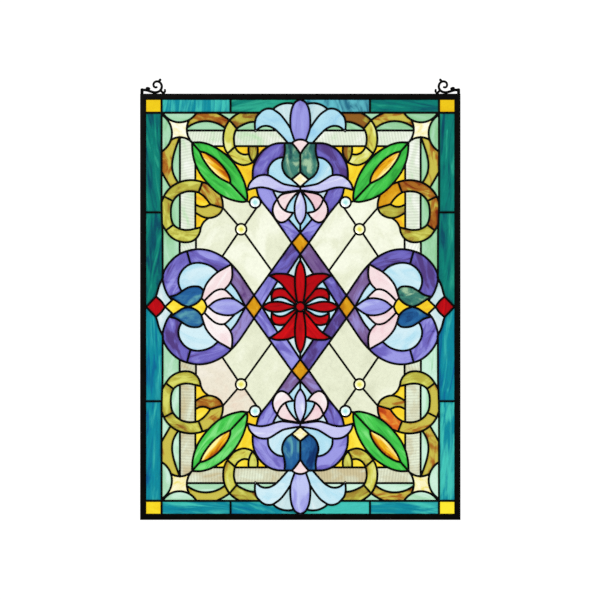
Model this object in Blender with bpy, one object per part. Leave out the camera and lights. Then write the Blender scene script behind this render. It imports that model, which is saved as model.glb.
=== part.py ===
"""Leaded stained glass panel with a dark came frame and two scroll hangers.

Sizes are in millimetres and the finished model is in metres. X runs to the right, Y runs to the
back and Z runs up. The origin lies midway between the two hooks' bearing points, in the scrolls.
"""
import math

import bmesh
import bpy
from mathutils import Matrix, Vector
from mathutils.geometry import delaunay_2d_cdt

MM = 0.001

# Driving sizes of the panel
PANEL_WIDTH = 457.0
PANEL_HEIGHT = 608.0
FRAME_FACE = 8.5          # width of the came frame, seen from the front
FRAME_LIP = 1.7           # wall of the frame's channel, front and back
FRAME_CHAMFER = 0.8
BITE = 2.5                # how far the glazing runs into the frame's channel
CHANNEL_CLEARANCE = 0.5   # left between the glazing's edge and the channel's floor
SIDE_BORDER = 22.0        # width of the coloured border at the sides
TOP_BORDER = 18.5         # and along the top and bottom
GLASS_THICKNESS = 3.0
LEAD_THICKNESS = 5.0      # from the front bead to the back bead
LEAD_WIDTH = 3.2
GAP = 0.3                 # clearance between pieces that touch
FRAME_DEPTH = LEAD_THICKNESS + 2 * GAP + 2 * FRAME_LIP

# Driving sizes of the hangers. Their places run inward from the panel's side and up from its top.
ROD_RADIUS = 1.6
ROD_SIDES = 6
POST_WIDTH = 4.8
POST_DEPTH = 5.0
POST_HEIGHT = 7.4
FOOT_WIDTH = 5.0
SCROLL_LOW = (20.5, 2.1)
SCROLL_TOP = (23.6, 17.8)
CURL_LOW = (33.0, 1.9)
LEAF_PLACE = (11.0, 7.5)
LEAF_SIZE = (7.0, 3.2, 4.6)
LEAF_LEAN = 12            # degrees
TAPER = 6                 # a rod's end thins over this part of its length: one sixth
SCROLL_END = 0.6          # what is left of the rod's radius at the end of the scroll
TAIL_END = 0.8            # and at the end of the tail

# How closely straight runs follow the drawn lead lines, the groups' outlines and the openings' edges
LINE_TOLERANCE = 0.1
OUTLINE_TOLERANCE = 0.5
OPENING_TOLERANCE = 0.25
GLASS_TOLERANCE = 0.05

# An inset rounds an outward corner in steps of at most this turn, in radians, and what it keeps
# is clear of its sides by this share of the distance
ARC_STEP = 0.5
NEARLY = 0.96

SIGHT_X = PANEL_WIDTH / 2 - FRAME_FACE
SIGHT_Z = PANEL_HEIGHT / 2 - FRAME_FACE
FIELD_X = SIGHT_X - SIDE_BORDER
FIELD_Z = SIGHT_Z - TOP_BORDER

# The pattern is drawn for one quarter of the field, on a cartoon of this half size
CARTOON_X = 198.0
CARTOON_Z = 277.0
SCALE_X = FIELD_X / CARTOON_X
SCALE_Z = FIELD_Z / CARTOON_Z
HOOK_HEIGHT = PANEL_HEIGHT / 2 + SCROLL_TOP[1] - ROD_RADIUS
EDGE_X = (SIGHT_X + BITE) / SCALE_X
EDGE_Z = (SIGHT_Z + BITE) / SCALE_Z
SILL_X = SIGHT_X / SCALE_X

# Corners of the pattern where several lead lines meet, on the cartoon
STAR = (154.5, 234.5)
LEAF_FOOT = (76, 150.7)
LEAF_HEAD = (143.5, 221.8)
LENS_FOOT = (99.8, 176)
HEART_TOP = (22.5, 233.7)
CREST_FOOT = (8, 236.8)
FAN_CORNER = (12, 233.9)
RING_KNOT = (101, 266.3)
DROP_TIP = (68, 206)
LOTUS_KNOT = (0, 166.5)
LOTUS_CORNER = (12.3, 181.7)
PEACH_CORNER = (33, 153.7)
BULB_LEFT = (6.5, 133.8)
BAND_TOP = (12.3, 91.3)
BAND_SIDE = (66, 16.5)
MEDALLION_TOP = (0, 75)
MEDALLION_SIDE = (54.8, 0)
LOOP_END = (145.3, 163.2)
LOBE_IN = (128.5, 146.3)
LOBE_OUT = (110.3, 141)
RED_TIP = (43.5, 44.3)
PINK_TOP = (98.3, 60.8)
PINK_FOOT = (141, 12.3)
SIDE_KNOT = (160, 0)
SIDE_LOTUS = (78, 0)
WING_TIP = (75.5, 166.5)
CREAM_JEWEL = (84.5, 110.7)
AQUA_JEWEL = (64.5, 149)
JEWEL_RADIUS = 7.7
FLOWER_RADIUS = 6.8


def line(*points):
    """Straight runs through the points."""
    return [Vector(point) for point in points]


def curve(*points, steps=10):
    """A smooth run through the points, as a centripetal spline."""
    knots = [Vector(point) for point in points]
    knots = [2 * knots[0] - knots[1], *knots, 2 * knots[-1] - knots[-2]]
    run = []
    for before, start, end, after in zip(knots, knots[1:], knots[2:], knots[3:]):
        first = (start - before).length ** 0.5
        second = first + (end - start).length ** 0.5
        third = second + (after - end).length ** 0.5
        for step in range(steps):
            here = first + (second - first) * step / steps
            across = (here - first) / (second - first)
            left = before.lerp(start, here / first).lerp(start.lerp(end, across), here / second)
            right = start.lerp(end, across).lerp(end.lerp(after, (here - second) / (third - second)),
                                                 (here - first) / (third - first))
            run.append(left.lerp(right, across))
    return run + [knots[-2]]


def arc(start, middle, end, steps=24):
    """The arc of a circle from start through middle to end."""
    (ax, az), (bx, bz), (cx, cz) = start, middle, end
    twice_area = 2 * (ax * (bz - cz) + bx * (cz - az) + cx * (az - bz))
    a_square, b_square, c_square = ax * ax + az * az, bx * bx + bz * bz, cx * cx + cz * cz
    centre = Vector(((a_square * (bz - cz) + b_square * (cz - az) + c_square * (az - bz)) / twice_area,
                     (a_square * (cx - bx) + b_square * (ax - cx) + c_square * (bx - ax)) / twice_area))
    radius = (Vector(start) - centre).length
    first, halfway, last = (math.atan2(z - centre.y, x - centre.x) for x, z in (start, middle, end))
    turn = (last - first) % math.tau
    if (halfway - first) % math.tau > turn:
        turn -= math.tau
    angles = [first + turn * step / steps for step in range(steps + 1)]
    return [centre + radius * Vector((math.cos(angle), math.sin(angle))) for angle in angles]


def circle(centre, radius, steps=32):
    """A closed circle."""
    angles = [math.tau * step / steps for step in range(steps)]
    ring = [Vector(centre) + radius * Vector((math.cos(angle), math.sin(angle))) for angle in angles]
    return ring + ring[:1]


def border_lines():
    """Lead lines of the coloured border."""
    return [
        line((EDGE_X, CARTOON_Z), (57.5, CARTOON_Z)),
        line((CARTOON_X, EDGE_Z), (CARTOON_X, 140), (196.6, 105), (196.4, 48), (195.6, 38)),
        line((99.5, EDGE_Z), (99.5, CARTOON_Z - 1)),
        line((EDGE_X, 134.8), (CARTOON_X - 2, 134.8)),
        line((0, 296), (0, EDGE_Z)),
    ]


def corner_star_lines():
    """The four arcs round the cream star in the corner."""
    return [
        arc((197, 278), (172.3, 263.3), (147.6, 278)),
        arc((199.5, 275), (183.3, 250), (199, 221)),
        arc((150.5, 275.5), (162, 253), STAR),
        arc((187.5, 236), (171, 242), STAR),
    ]


def top_link_lines():
    """Strapwork that runs from the corner star to the crest."""
    return [
        arc((122, 278), (111, 272.8), RING_KNOT),
        arc((163, 254.5), (135, 265), (106.5, 254.2)),
        line((163, 251.7), (107, 251.7)),
        line((128, 229.3), (107, 229.3)),
        curve((84, 278.5), (93, 273.3), RING_KNOT, (107.8, 254), (110, 240), (108.3, 227.5),
              (103.8, 218.5), (95, 207.8), (83, 202.4), (74.5, 203.2), DROP_TIP),
        curve((64, 264.3), (73, 263.2), (82, 259.7), (90.5, 254.3), (94.2, 246), (94.8, 238),
              (92.7, 227.5), (87.5, 220.5), (80, 217.3), (72.5, 218.3)),
        line(RING_KNOT, (90, 253.6)),
        line((105, 218), (92.5, 229)),
        line((94.5, 251.7), (32, 251.7)),
        line((94, 229.3), (43, 229.3)),
        curve((73.7, 230.5), (74, 222), (72, 213.5), DROP_TIP),
        curve((61.3, 230.5), (60.6, 222), (62.5, 214), DROP_TIP),
        line(DROP_TIP, (63.5, 207.2)),
        line((95.8, 211.5), (99.2, 207.2)),
    ]


def side_link_lines():
    """Strapwork that runs from the corner star down to the side heart."""
    return [
        curve((171.8, 242.5), (177, 229), (181, 216), (183, 203), (181.8, 192), (178.4, 183.7), (173.5, 176)),
        curve((199, 194.5), (193.5, 184.5), (184.3, 168.8)),
        line((171.8, 242.5), (171.8, 177)),
        line((149.8, 207), (149.8, 179)),
        line((171.8, 162.5), (171.8, 110)),
        line((149.8, 165.5), (149.8, 110.5)),
        line((172.2, 94.5), (172.2, 74)),
        line((148.9, 99), (148.9, 80.5)),
        curve((130, 174.5), (140, 178.2), (148, 180.2), (157, 180.8), (167, 179.5), (177, 175.8),
              (186.5, 169), (193.5, 160), (199, 147)),
        curve((199, 122), (196, 115.5), (192.3, 109.5), (185.5, 100.5), (176, 94.5), (165, 92), (155, 93.5),
              (147.5, 98.8), (143.3, 106.5), (141.8, 113.5), (137.8, 121), (129, 128)),
        curve(LOOP_END, (153, 164.8), (162, 164.5), (171, 161.5), (178, 156), (183, 148), (184.8, 137),
              (184, 125), (180.5, 116.7), (174, 112), (166, 109.8), (158, 109.8), (150, 111.5), (141.8, 113.5)),
        line((196.5, 158.5), (180.5, 150.4)),
        line((194, 107.4), (179.3, 118.5)),
        curve((139.2, 179.5), (142.2, 171), LOOP_END),
        curve((114.2, 161), (111, 150.5), LOBE_OUT),
        curve(LOOP_END, (138.5, 158.5), (132.5, 152), LOBE_IN),
        curve(LOBE_IN, (120, 143.8), LOBE_OUT),
        curve(LOBE_OUT, (114.5, 133.5), (122, 128.5), (131, 126.7), (139.5, 128.5), (151, 135)),
        curve((151, 147), (143.5, 143.2), (136, 143), LOBE_IN),
    ]


def leaf_lines():
    """The slanted leaf, its lens, its veins and the aqua jewel at its foot."""
    return [
        curve(STAR, (142, 234.6), (130.5, 231.8), (118, 225.5), (106.5, 217.3), (96.5, 207), (88, 195),
              (81.5, 182), (77.3, 169), (75.5, 157), LEAF_FOOT),
        curve(STAR, (153.8, 221), (151, 207.5), (145.5, 194.5), (137.5, 182.5), (127.5, 171), (116, 161.3),
              (104, 154.8), (92, 151), (83, 149.6), LEAF_FOOT),
        curve(LEAF_HEAD, (137, 220.3), (129, 216.5), (119.3, 209.8), (109.8, 199.8), (103.3, 190),
              (100.2, 182), LENS_FOOT),
        curve(LEAF_HEAD, (139, 211.5), (132.5, 201.5), (124.5, 192), (115, 184), (106.5, 179.3), LENS_FOOT),
        line(STAR, LEAF_HEAD),
        line(LENS_FOOT, LEAF_FOOT),
        circle(AQUA_JEWEL, JEWEL_RADIUS),
        line(LEAF_FOOT, (70, 149)),
        line((52, 148.5), (59, 150)),
    ]


def crest_lines():
    """Fleur at the top of the field, cut into the border."""
    return [
        curve((64.3, 250.5), (64.8, 262), (62.5, 271), (57.5, 277)),
        arc((57.5, 277), (48, 282.6), (39, 282)),
        curve((39, 282), (29, 275), (20, 264), (12.5, 252)),
        curve((64.3, 250.5), (55, 257.3), (46, 258), (37, 254), (28, 245.5), (16.5, 232.5)),
        arc((39, 282), (26, 289.6), (9, 289.3)),
        curve((0, 296), (7, 292.3), (11.5, 284.5), (14, 272), (13.8, 254.5), (11.3, 246), CREST_FOOT),
        arc(CREST_FOOT, (0, 238.8), (-CREST_FOOT[0], CREST_FOOT[1])),
        line(CREST_FOOT, FAN_CORNER),
        curve(FAN_CORNER, (5.5, 226.3), (0, 218)),
    ]


def lotus_lines():
    """Heart-shaped scroll with the lotus bud, under the crest."""
    return [
        line(HEART_TOP, FAN_CORNER),
        line((0, 218), (0, 192)),
        line((0, 192), LOTUS_CORNER, (0, 171)),
        curve(HEART_TOP, (22, 224), (23.5, 214), (26, 204), (24.5, 195), (20, 187.5), LOTUS_CORNER),
        curve(HEART_TOP, (33, 233.3), (43, 230.2), (53, 223.5), (61, 214), (66, 203.5), (67.9, 193), (68, 180)),
        curve((22.5, 214), (33, 211.5), (40.5, 206), (45.3, 198), (46.3, 186)),
        curve(WING_TIP, (73, 175), (67.5, 182), (60, 186.8), (51, 188.3), (44, 187), (34, 181), (25, 175.8),
              (15, 173.4), (0, 171)),
        curve(WING_TIP, (66, 169.2), (56, 170.5), (46, 169), (36, 165.6), (27, 163.6), (17, 164.3), LOTUS_KNOT),
        line(WING_TIP, (78.5, 165.5)),
        line((0, 171), LOTUS_KNOT),
        curve((63, 171.5), (60, 159), (55, 150), (48.5, 142), (41, 132.5)),
        curve((40.2, 169), (36.5, 160.5), PEACH_CORNER),
        curve(PEACH_CORNER, (28, 159.3), (20, 162.2), (10, 164), LOTUS_KNOT),
        curve(PEACH_CORNER, (37.5, 146.5), (39.5, 137.5), (37.3, 129), (32.8, 122.8), (27, 120.3),
              (20.5, 122.5), (15.5, 127), (9.8, 135)),
        line((34.8, 126.3), (37.3, 125.1)),
        curve(PEACH_CORNER, (29.5, 145.5), (24.5, 139.3), (18.5, 135.7), BULB_LEFT),
        curve((21.5, 136.2), (18, 145), (13, 153), (7, 160), LOTUS_KNOT),
        curve(LOTUS_KNOT, (4.5, 157.5), (7.5, 148), (8.2, 138), (7, 129), (4, 122.5), (0, 117)),
        line((0, 117), (0, 105.5)),
        line((18.5, 127), (0, 105.5)),
    ]


def medallion_lines():
    """Diamond of purple bands round the red flower, with an amber diamond on each corner."""
    return [
        line((41, 132.5), BAND_TOP, BAND_SIDE),
        line((0, 105.5), BAND_TOP, MEDALLION_TOP),
        line(MEDALLION_SIDE, BAND_SIDE, SIDE_LOTUS),
        line(MEDALLION_TOP, (19.5, 45.5)),
        line((31.5, 37.8), MEDALLION_SIDE),
        line(MEDALLION_TOP, (0, 66.5)),
        curve((0, 66.5), (4.5, 58), (7, 47), (7.7, 35), (6.8, 22), (4.2, 4)),
        curve(RED_TIP, (36, 46.8), (27, 47.2), (17, 46), (6, 41.5)),
        curve(RED_TIP, (35, 38.8), (27, 32.5), (20.5, 24.3), (3.5, 3.8)),
        line(RED_TIP, (47.5, 43.9)),
        curve((40.8, 8), (41, 17), (37.5, 23.7), (30, 26.2), (23.5, 25.5), (17.3, 22.3)),
        curve((40.8, 8.8), (36, 11.9), (29, 13.8), (21.5, 12.3), (13, 7.3), (5, 2.3)),
        curve(MEDALLION_SIDE, (46, 5.3), (37, 7.2), (28, 6.9), (19, 4.6), (10, 1.8), (5, 0.5)),
        line((40.8, 10), (40.8, 5.5)),
        line((38.5, 20), (43.5, 20.5)),
        circle((0, 0), FLOWER_RADIUS),
    ]


def side_lotus_lines():
    """Heart-shaped scroll with its bud at the side, and the red diamond in the border."""
    return [
        curve(BAND_SIDE, (78, 34.5), (88, 49), (98, 60.5), (108, 69.5), (120, 76.5), (133, 81), (147, 82.2),
              (160, 80), (172, 75.5), (182, 68), (190.5, 58), (195.8, 47), (196.4, 38), (194, 28),
              (189.5, 17.5), (183.3, 9.2)),
        curve((116.5, 49), (126, 57), (136, 61.3), (147, 62.8), (157, 60.8), (166, 54.8), (172, 46),
              (174, 37), (172.5, 28.5), (168.5, 21)),
        line((162.3, 81), (156.2, 59.5)),
        curve((101.5, 36.5), (91.5, 24), (85.5, 13.5), SIDE_LOTUS),
        curve(PINK_TOP, (108, 55.3), (117.5, 49.8), (127, 41.5), (134.5, 31.5), (138.5, 21), PINK_FOOT),
        curve(PINK_TOP, (97, 50), (97.8, 40), (101.5, 32), (109, 24)),
        curve((93, 10.3), (101, 18.5), (108, 24.3), (114, 25), (121, 22.8), (128, 17.5), (138, 7.3)),
        curve((131.5, 0), (122, 7.7), (112, 11.3), (102, 12.2), (94, 10.8), (86.5, 6.3), SIDE_LOTUS),
        curve(PINK_FOOT, (136.5, 7.5), (133.3, 0)),
        line((133.3, 0), (131.5, 0)),
        curve((187.5, 14.2), (177, 17), (168.5, 22.5), (160, 27.5), (151, 29.2), (143, 28), (137.5, 22.5)),
        curve(PINK_FOOT, (145, 7.5), (151.5, 3), SIDE_KNOT),
        curve(SIDE_KNOT, (168.5, 2.8), (176.5, 8), (187.5, 14.2)),
        line((183.3, 9.2), (193, 0)),
        curve((195.2, 43.5), (201.5, 30), (204.3, 20), (206, 14.7)),
        line((SILL_X, 0), (206, 14.7)),
        curve((206, 14.7), (198.5, 8), (193, 0)),
        line((SILL_X, 0), (EDGE_X, 0)),
    ]


def pane_lines():
    """Clear field between the motifs, with the cream jewel where its lines cross."""
    return [
        circle(CREAM_JEWEL, JEWEL_RADIUS),
        line((88, 115.2), LOBE_OUT),
        line((80.5, 115), (61.6, 142.5)),
        line((88, 106.5), (112, 71)),
        line((80.5, 106.5), (40.5, 51)),
    ]


# How a group of glasses repeats: each copy's name with the quarters that it takes in
QUARTERS = {"top_left": [(-1, 1)], "top_right": [(1, 1)], "bottom_left": [(-1, -1)], "bottom_right": [(1, -1)]}
TOP_AND_BOTTOM = {"top": [(-1, 1), (1, 1)], "bottom": [(-1, -1), (1, -1)]}
LEFT_AND_RIGHT = {"left": [(-1, 1), (-1, -1)], "right": [(1, 1), (1, -1)]}
WHOLE = {"centre": [(-1, 1), (1, 1), (-1, -1), (1, -1)]}

# Each group of glasses: how it repeats, its colour, and a place on the cartoon in each of its glasses
GROUPS = {
    "corner_square": (QUARTERS, "yellow_glass", [(209, 288)]),
    "border_end_glass": (QUARTERS, "teal_glass", [(142, 289)]),
    "border_middle_glass": (QUARTERS, "teal_glass", [(69, 289)]),
    "side_border_end_glass": (QUARTERS, "teal_glass", [(213, 197)]),
    "side_border_middle_glass": (QUARTERS, "teal_glass", [(211, 93)]),
    "strapwork": (QUARTERS, "amber_glass", [
        (172, 253), (169, 271), (191, 244), (102, 272), (141, 270), (131, 258), (131, 240), (113, 226),
        (84, 268), (78, 257), (47, 254.5), (53, 239), (67, 223), (80, 223), (84, 210), (100, 253),
        (56.5, 224), (74, 192), (161, 198), (177, 205), (189, 180), (196, 170), (141, 184), (162, 172),
        (128, 158), (142, 151), (161, 127), (178, 139), (190, 140), (128, 136), (144, 122), (168, 101),
        (160, 86), (184, 83)]),
    "leaf": (QUARTERS, "green_glass", [(90, 179), (106, 167), (120, 199), (64, 149), (69, 162)]),
    "inner_pane": (QUARTERS, "clear_glass", [(47, 100)]),
    "upper_pane": (QUARTERS, "clear_glass", [(85, 134)]),
    "outer_pane": (QUARTERS, "clear_glass", [(119, 104)]),
    "lower_pane": (QUARTERS, "clear_glass", [(84, 75)]),
    "cream_jewel": (QUARTERS, "cream_glass", [CREAM_JEWEL]),
    "lotus": (TOP_AND_BOTTOM, "purple_glass", [
        (0, 264), (20, 283), (45, 270), (0, 231), (13, 203), (0, 182), (56, 199), (36, 194), (48, 179),
        (32, 161), (46, 156), (23, 153), (14, 141), (28, 130), (0, 140), (6, 120), (12, 106)]),
    "side_lotus": (LEFT_AND_RIGHT, "blue_glass", [
        (91, 34), (99, 23), (120, 65), (180, 55), (146, 46), (113, 38), (113, 18), (104, 0),
        (142, 0), (156, 15), (181, 0), (197, 17), (206, 0)]),
    "medallion": (WHOLE, "red_glass", [
        (0, 91), (66, 0), (20, 63), (48, 28), (12, 52), (0, 35), (18, 36), (33, 32), (30, 20), (30, 10),
        (34, 0), (46, 9), (0, 0)]),
}


def quarters(points):
    """The points in all four quarters of the panel."""
    return [[Vector((x_sign * point.x, z_sign * point.y)) for point in points]
            for x_sign in (1, -1) for z_sign in (1, -1)]


def simplify(points, tolerance):
    """Fewer points along a run, none of them further from the drawn run than the tolerance."""
    if len(points) < 3:
        return points
    chord = points[-1] - points[0]
    if chord.length < tolerance:
        strays = [(point - points[0]).length for point in points]
    else:
        strays = [abs(chord.cross(point - points[0])) / chord.length for point in points]
    furthest = max(range(len(points)), key=strays.__getitem__)
    if strays[furthest] <= tolerance:
        return [points[0], points[-1]]
    return simplify(points[:furthest + 1], tolerance)[:-1] + simplify(points[furthest:], tolerance)


def area_of(loop):
    """Signed area of a closed loop, positive where it runs counter-clockwise."""
    return sum(a.cross(b) for a, b in zip(loop, loop[1:] + loop[:1])) / 2


def cut_glass(lines):
    """Cut the panel along the lead lines. Gives the places and each glass's loop of places."""
    rim = line((-EDGE_X, -EDGE_Z), (EDGE_X, -EDGE_Z), (EDGE_X, EDGE_Z), (-EDGE_X, EDGE_Z), (-EDGE_X, -EDGE_Z))
    points, edges = [], []
    for run in [rim] + [copy for path in lines for copy in quarters(path)]:
        edges += [(len(points) + step, len(points) + step + 1) for step in range(len(run) - 1)]
        points += run
    places, joins, _, _, origins, _ = delaunay_2d_cdt(points, edges, [], 0, MM)
    near = [set() for _ in places]
    for (a, b), origin in zip(joins, origins):
        if origin:
            near[a].add(b)
            near[b].add(a)
    ends = [place for place, others in enumerate(near) if len(others) == 1]
    while ends:
        place = ends.pop()
        if len(near[place]) == 1:
            other = near[place].pop()
            near[other].discard(place)
            ends.append(other)
    turns = [sorted(others, key=lambda b, a=a: math.atan2(*(places[b] - places[a]).yx))
             for a, others in enumerate(near)]
    walked, loops = set(), []
    for start, others in enumerate(turns):
        for following in others:
            loop, a, b = [], start, following
            while (a, b) not in walked:
                walked.add((a, b))
                loop.append(a)
                a, b = b, turns[b][turns[b].index(a) - 1]
            if loop and area_of([places[place] for place in loop]) > 1.0:
                loops.append(loop)
    return places, loops


def holds(loop, spot):
    """Whether a closed loop goes round the spot."""
    inside = False
    for a, b in zip(loop, loop[1:] + loop[:1]):
        if (a.y > spot.y) != (b.y > spot.y) and spot.x < a.x + (spot.y - a.y) * (b.x - a.x) / (b.y - a.y):
            inside = not inside
    return inside


def chained(sides):
    """The closed loops that directed sides make, each passing through a place once."""
    onward = {}
    for a, b in sorted(sides):
        onward.setdefault(a, []).append(b)
    loops = []
    while onward:
        walk = [next(iter(onward))]
        while walk[-1] in onward:
            here = walk[-1]
            following = onward[here].pop()
            if not onward[here]:
                del onward[here]
            if following in walk:
                first = walk.index(following)
                loops.append(walk[first:])
                del walk[first + 1:]
            else:
                walk.append(following)
    return loops


def outline(places, loops, seeds):
    """Outline of the glasses that hold the seeds, as one loop in millimetres."""
    chosen = [loop for loop in loops if any(holds([places[place] for place in loop], seed) for seed in seeds)]
    sides = {side for loop in chosen for side in zip(loop, loop[1:] + loop[:1])}
    rim = [(a, b) for a, b in sides if (b, a) not in sides]
    rings = [[Vector((places[place].x * SCALE_X, places[place].y * SCALE_Z)) for place in ring]
             for ring in chained(rim)]
    return max(rings, key=area_of)


def clear_of(loop, spot, distance):
    """Whether a spot inside a loop is at least a distance from all of its sides."""
    for a, b in zip(loop, loop[1:] + loop[:1]):
        along = b - a
        share = min(1.0, max(0.0, (spot - a).dot(along) / along.length_squared))
        if (spot - a - share * along).length < distance:
            return False
    return holds(loop, spot)


def inset(loop, distance, tolerance):
    """The loop moved inward by a distance. Sides that have no room there fall away."""
    points, edges = [], []
    for before, here, after in zip(loop[-1:] + loop[:-1], loop, loop[1:] + loop[:1]):
        into, onto = (here - before).normalized(), (after - here).normalized()
        turn = math.atan2(into.cross(onto), into.dot(onto))
        aside = distance * Vector((-onto.y, onto.x))
        edges.append((len(points), len(points) + 1))
        points += [here + aside, after + aside]
        if turn < 0:
            steps = math.ceil(-turn / ARC_STEP)
            edges += [(len(points) + step, len(points) + step + 1) for step in range(steps)]
            points += [here + Matrix.Rotation(-turn * step / steps, 2) @ aside for step in range(steps + 1)]
    spots, _, faces, _, _, _ = delaunay_2d_cdt(points, edges, [], 0, MM)
    sides = set()
    for face in faces:
        if clear_of(loop, sum((spots[spot] for spot in face), Vector((0, 0))) / len(face), distance * NEARLY):
            sides.update(zip(face, face[1:] + face[:1]))
    rim = [(a, b) for a, b in sides if (b, a) not in sides]
    ring = max(([spots[spot] for spot in ring] for ring in chained(rim)), key=area_of)
    return simplify(ring + ring[:1], tolerance)[:-1]


def place(x, z, y=0.0):
    """A point of the model in metres, from millimetres off the panel's middle."""
    return Vector((x, y, z - HOOK_HEIGHT)) * MM


def new_object(name, mesh, material):
    """Put a finished bmesh into the scene as one named object."""
    bmesh.ops.recalc_face_normals(mesh, faces=mesh.faces[:])
    data = bpy.data.meshes.new(name)
    mesh.to_mesh(data)
    mesh.free()
    data.materials.append(material)
    thing = bpy.data.objects.new(name, data)
    bpy.context.scene.collection.objects.link(thing)
    return thing


def new_material(name, colour, roughness, metallic=0.0):
    """A plain Principled material."""
    material = bpy.data.materials.new(name)
    material.use_nodes = True
    shader = material.node_tree.nodes["Principled BSDF"]
    shader.inputs["Base Color"].default_value = (*colour, 1.0)
    shader.inputs["Roughness"].default_value = roughness
    shader.inputs["Metallic"].default_value = metallic
    material.diffuse_color = (*colour, 1.0)
    return material


def plate(name, rings, thickness, material):
    """A flat plate in the panel's plane. The first ring is its rim and the others are openings."""
    points, loops = [], []
    for ring in rings:
        loops.append(list(range(len(points), len(points) + len(ring))))
        points += ring
    spots, _, triangles, _, _, sources = delaunay_2d_cdt(points, [], loops, 1, MM)
    mesh = bmesh.new()
    corners = [mesh.verts.new(place(spot.x, spot.y, -thickness / 2)) for spot in spots]
    for triangle, source in zip(triangles, sources):
        if source == [0]:
            mesh.faces.new([corners[corner] for corner in triangle])
    grown = bmesh.ops.extrude_face_region(mesh, geom=mesh.faces[:])["geom"]
    back = [part for part in grown if isinstance(part, bmesh.types.BMVert)]
    bmesh.ops.translate(mesh, verts=back, vec=(0, thickness * MM, 0))
    return new_object(name, mesh, material)


def frame_bar(name, half_length, half_reach, along_x, sign, material):
    """One mitred bar of the U-shaped came.

    half_length and half_reach are the half sizes of the panel's sight opening along the bar and
    across to it. The section's first number runs outward from the sight line.
    """
    face, depth, chamfer = FRAME_FACE, FRAME_DEPTH / 2, FRAME_CHAMFER
    floor, channel = BITE + CHANNEL_CLEARANCE, depth - FRAME_LIP
    half = [(chamfer, -depth), (face - chamfer, -depth), (face, chamfer - depth)]
    section = half + [(u, -y) for u, y in reversed(half)]
    section += [(0, depth - chamfer), (0, channel), (floor, channel),
                (floor, -channel), (0, -channel), (0, chamfer - depth)]
    mesh = bmesh.new()
    ends = []
    for end in (-1, 1):
        ring = []
        for u, y in section:
            along, out = end * (half_length + u - GAP / 2), sign * (half_reach + u)
            ring.append(mesh.verts.new(place(along, out, y) if along_x else place(out, along, y)))
        mesh.faces.new(ring)
        ends.append(ring)
    for (a, b), (c, d) in zip(zip(ends[0], ends[0][1:] + ends[0][:1]), zip(ends[1], ends[1][1:] + ends[1][:1])):
        mesh.faces.new((a, b, d, c))
    return new_object(name, mesh, material)


def rod(points, radii, side):
    """A round rod along a run in the panel's plane, with blunt ends, as a bmesh."""
    mesh = bmesh.new()
    rings = []
    for index, (point, radius) in enumerate(zip(points, radii)):
        along = (points[min(index + 1, len(points) - 1)] - points[max(index - 1, 0)]).normalized()
        ring = []
        for step in range(ROD_SIDES):
            angle = math.tau * (step + 0.5) / ROD_SIDES
            out, depth = radius * math.cos(angle), radius * math.sin(angle)
            u, v = point.x - along.y * out, point.y + along.x * out
            ring.append(mesh.verts.new(hanger_place(u, v, side, depth)))
        rings.append(ring)
    for first, second in zip(rings, rings[1:]):
        for a, b, c, d in zip(first, first[1:] + first[:1], second, second[1:] + second[:1]):
            mesh.faces.new((a, b, d, c))
    mesh.faces.new(rings[0])
    mesh.faces.new(rings[-1])
    return mesh


def block(low, high, half_depth, side):
    """A box from one corner to another of the hanger's plane, as a bmesh."""
    mesh = bmesh.new()
    bmesh.ops.create_cube(mesh, size=1.0)
    for vert in mesh.verts:
        u = low[0] if vert.co.x < 0 else high[0]
        v = low[1] if vert.co.z < 0 else high[1]
        vert.co = hanger_place(u, v, side, math.copysign(half_depth, vert.co.y))
    return mesh


def hanger_place(u, v, side, depth=0.0):
    """A point of a hanger, measured inward from the panel's side and up from its top."""
    return place(side * (PANEL_WIDTH / 2 - u), PANEL_HEIGHT / 2 + v, depth)


def tapered(count, radius, first, last):
    """Radii along a rod that thins toward its ends, as shares of the full radius."""
    radii = []
    for index in range(count):
        share = index / (count - 1)
        opening = first + (1 - first) * share * TAPER
        closing = last + (1 - last) * (1 - share) * TAPER
        radii.append(radius * min(1.0, opening, closing))
    return radii


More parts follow.
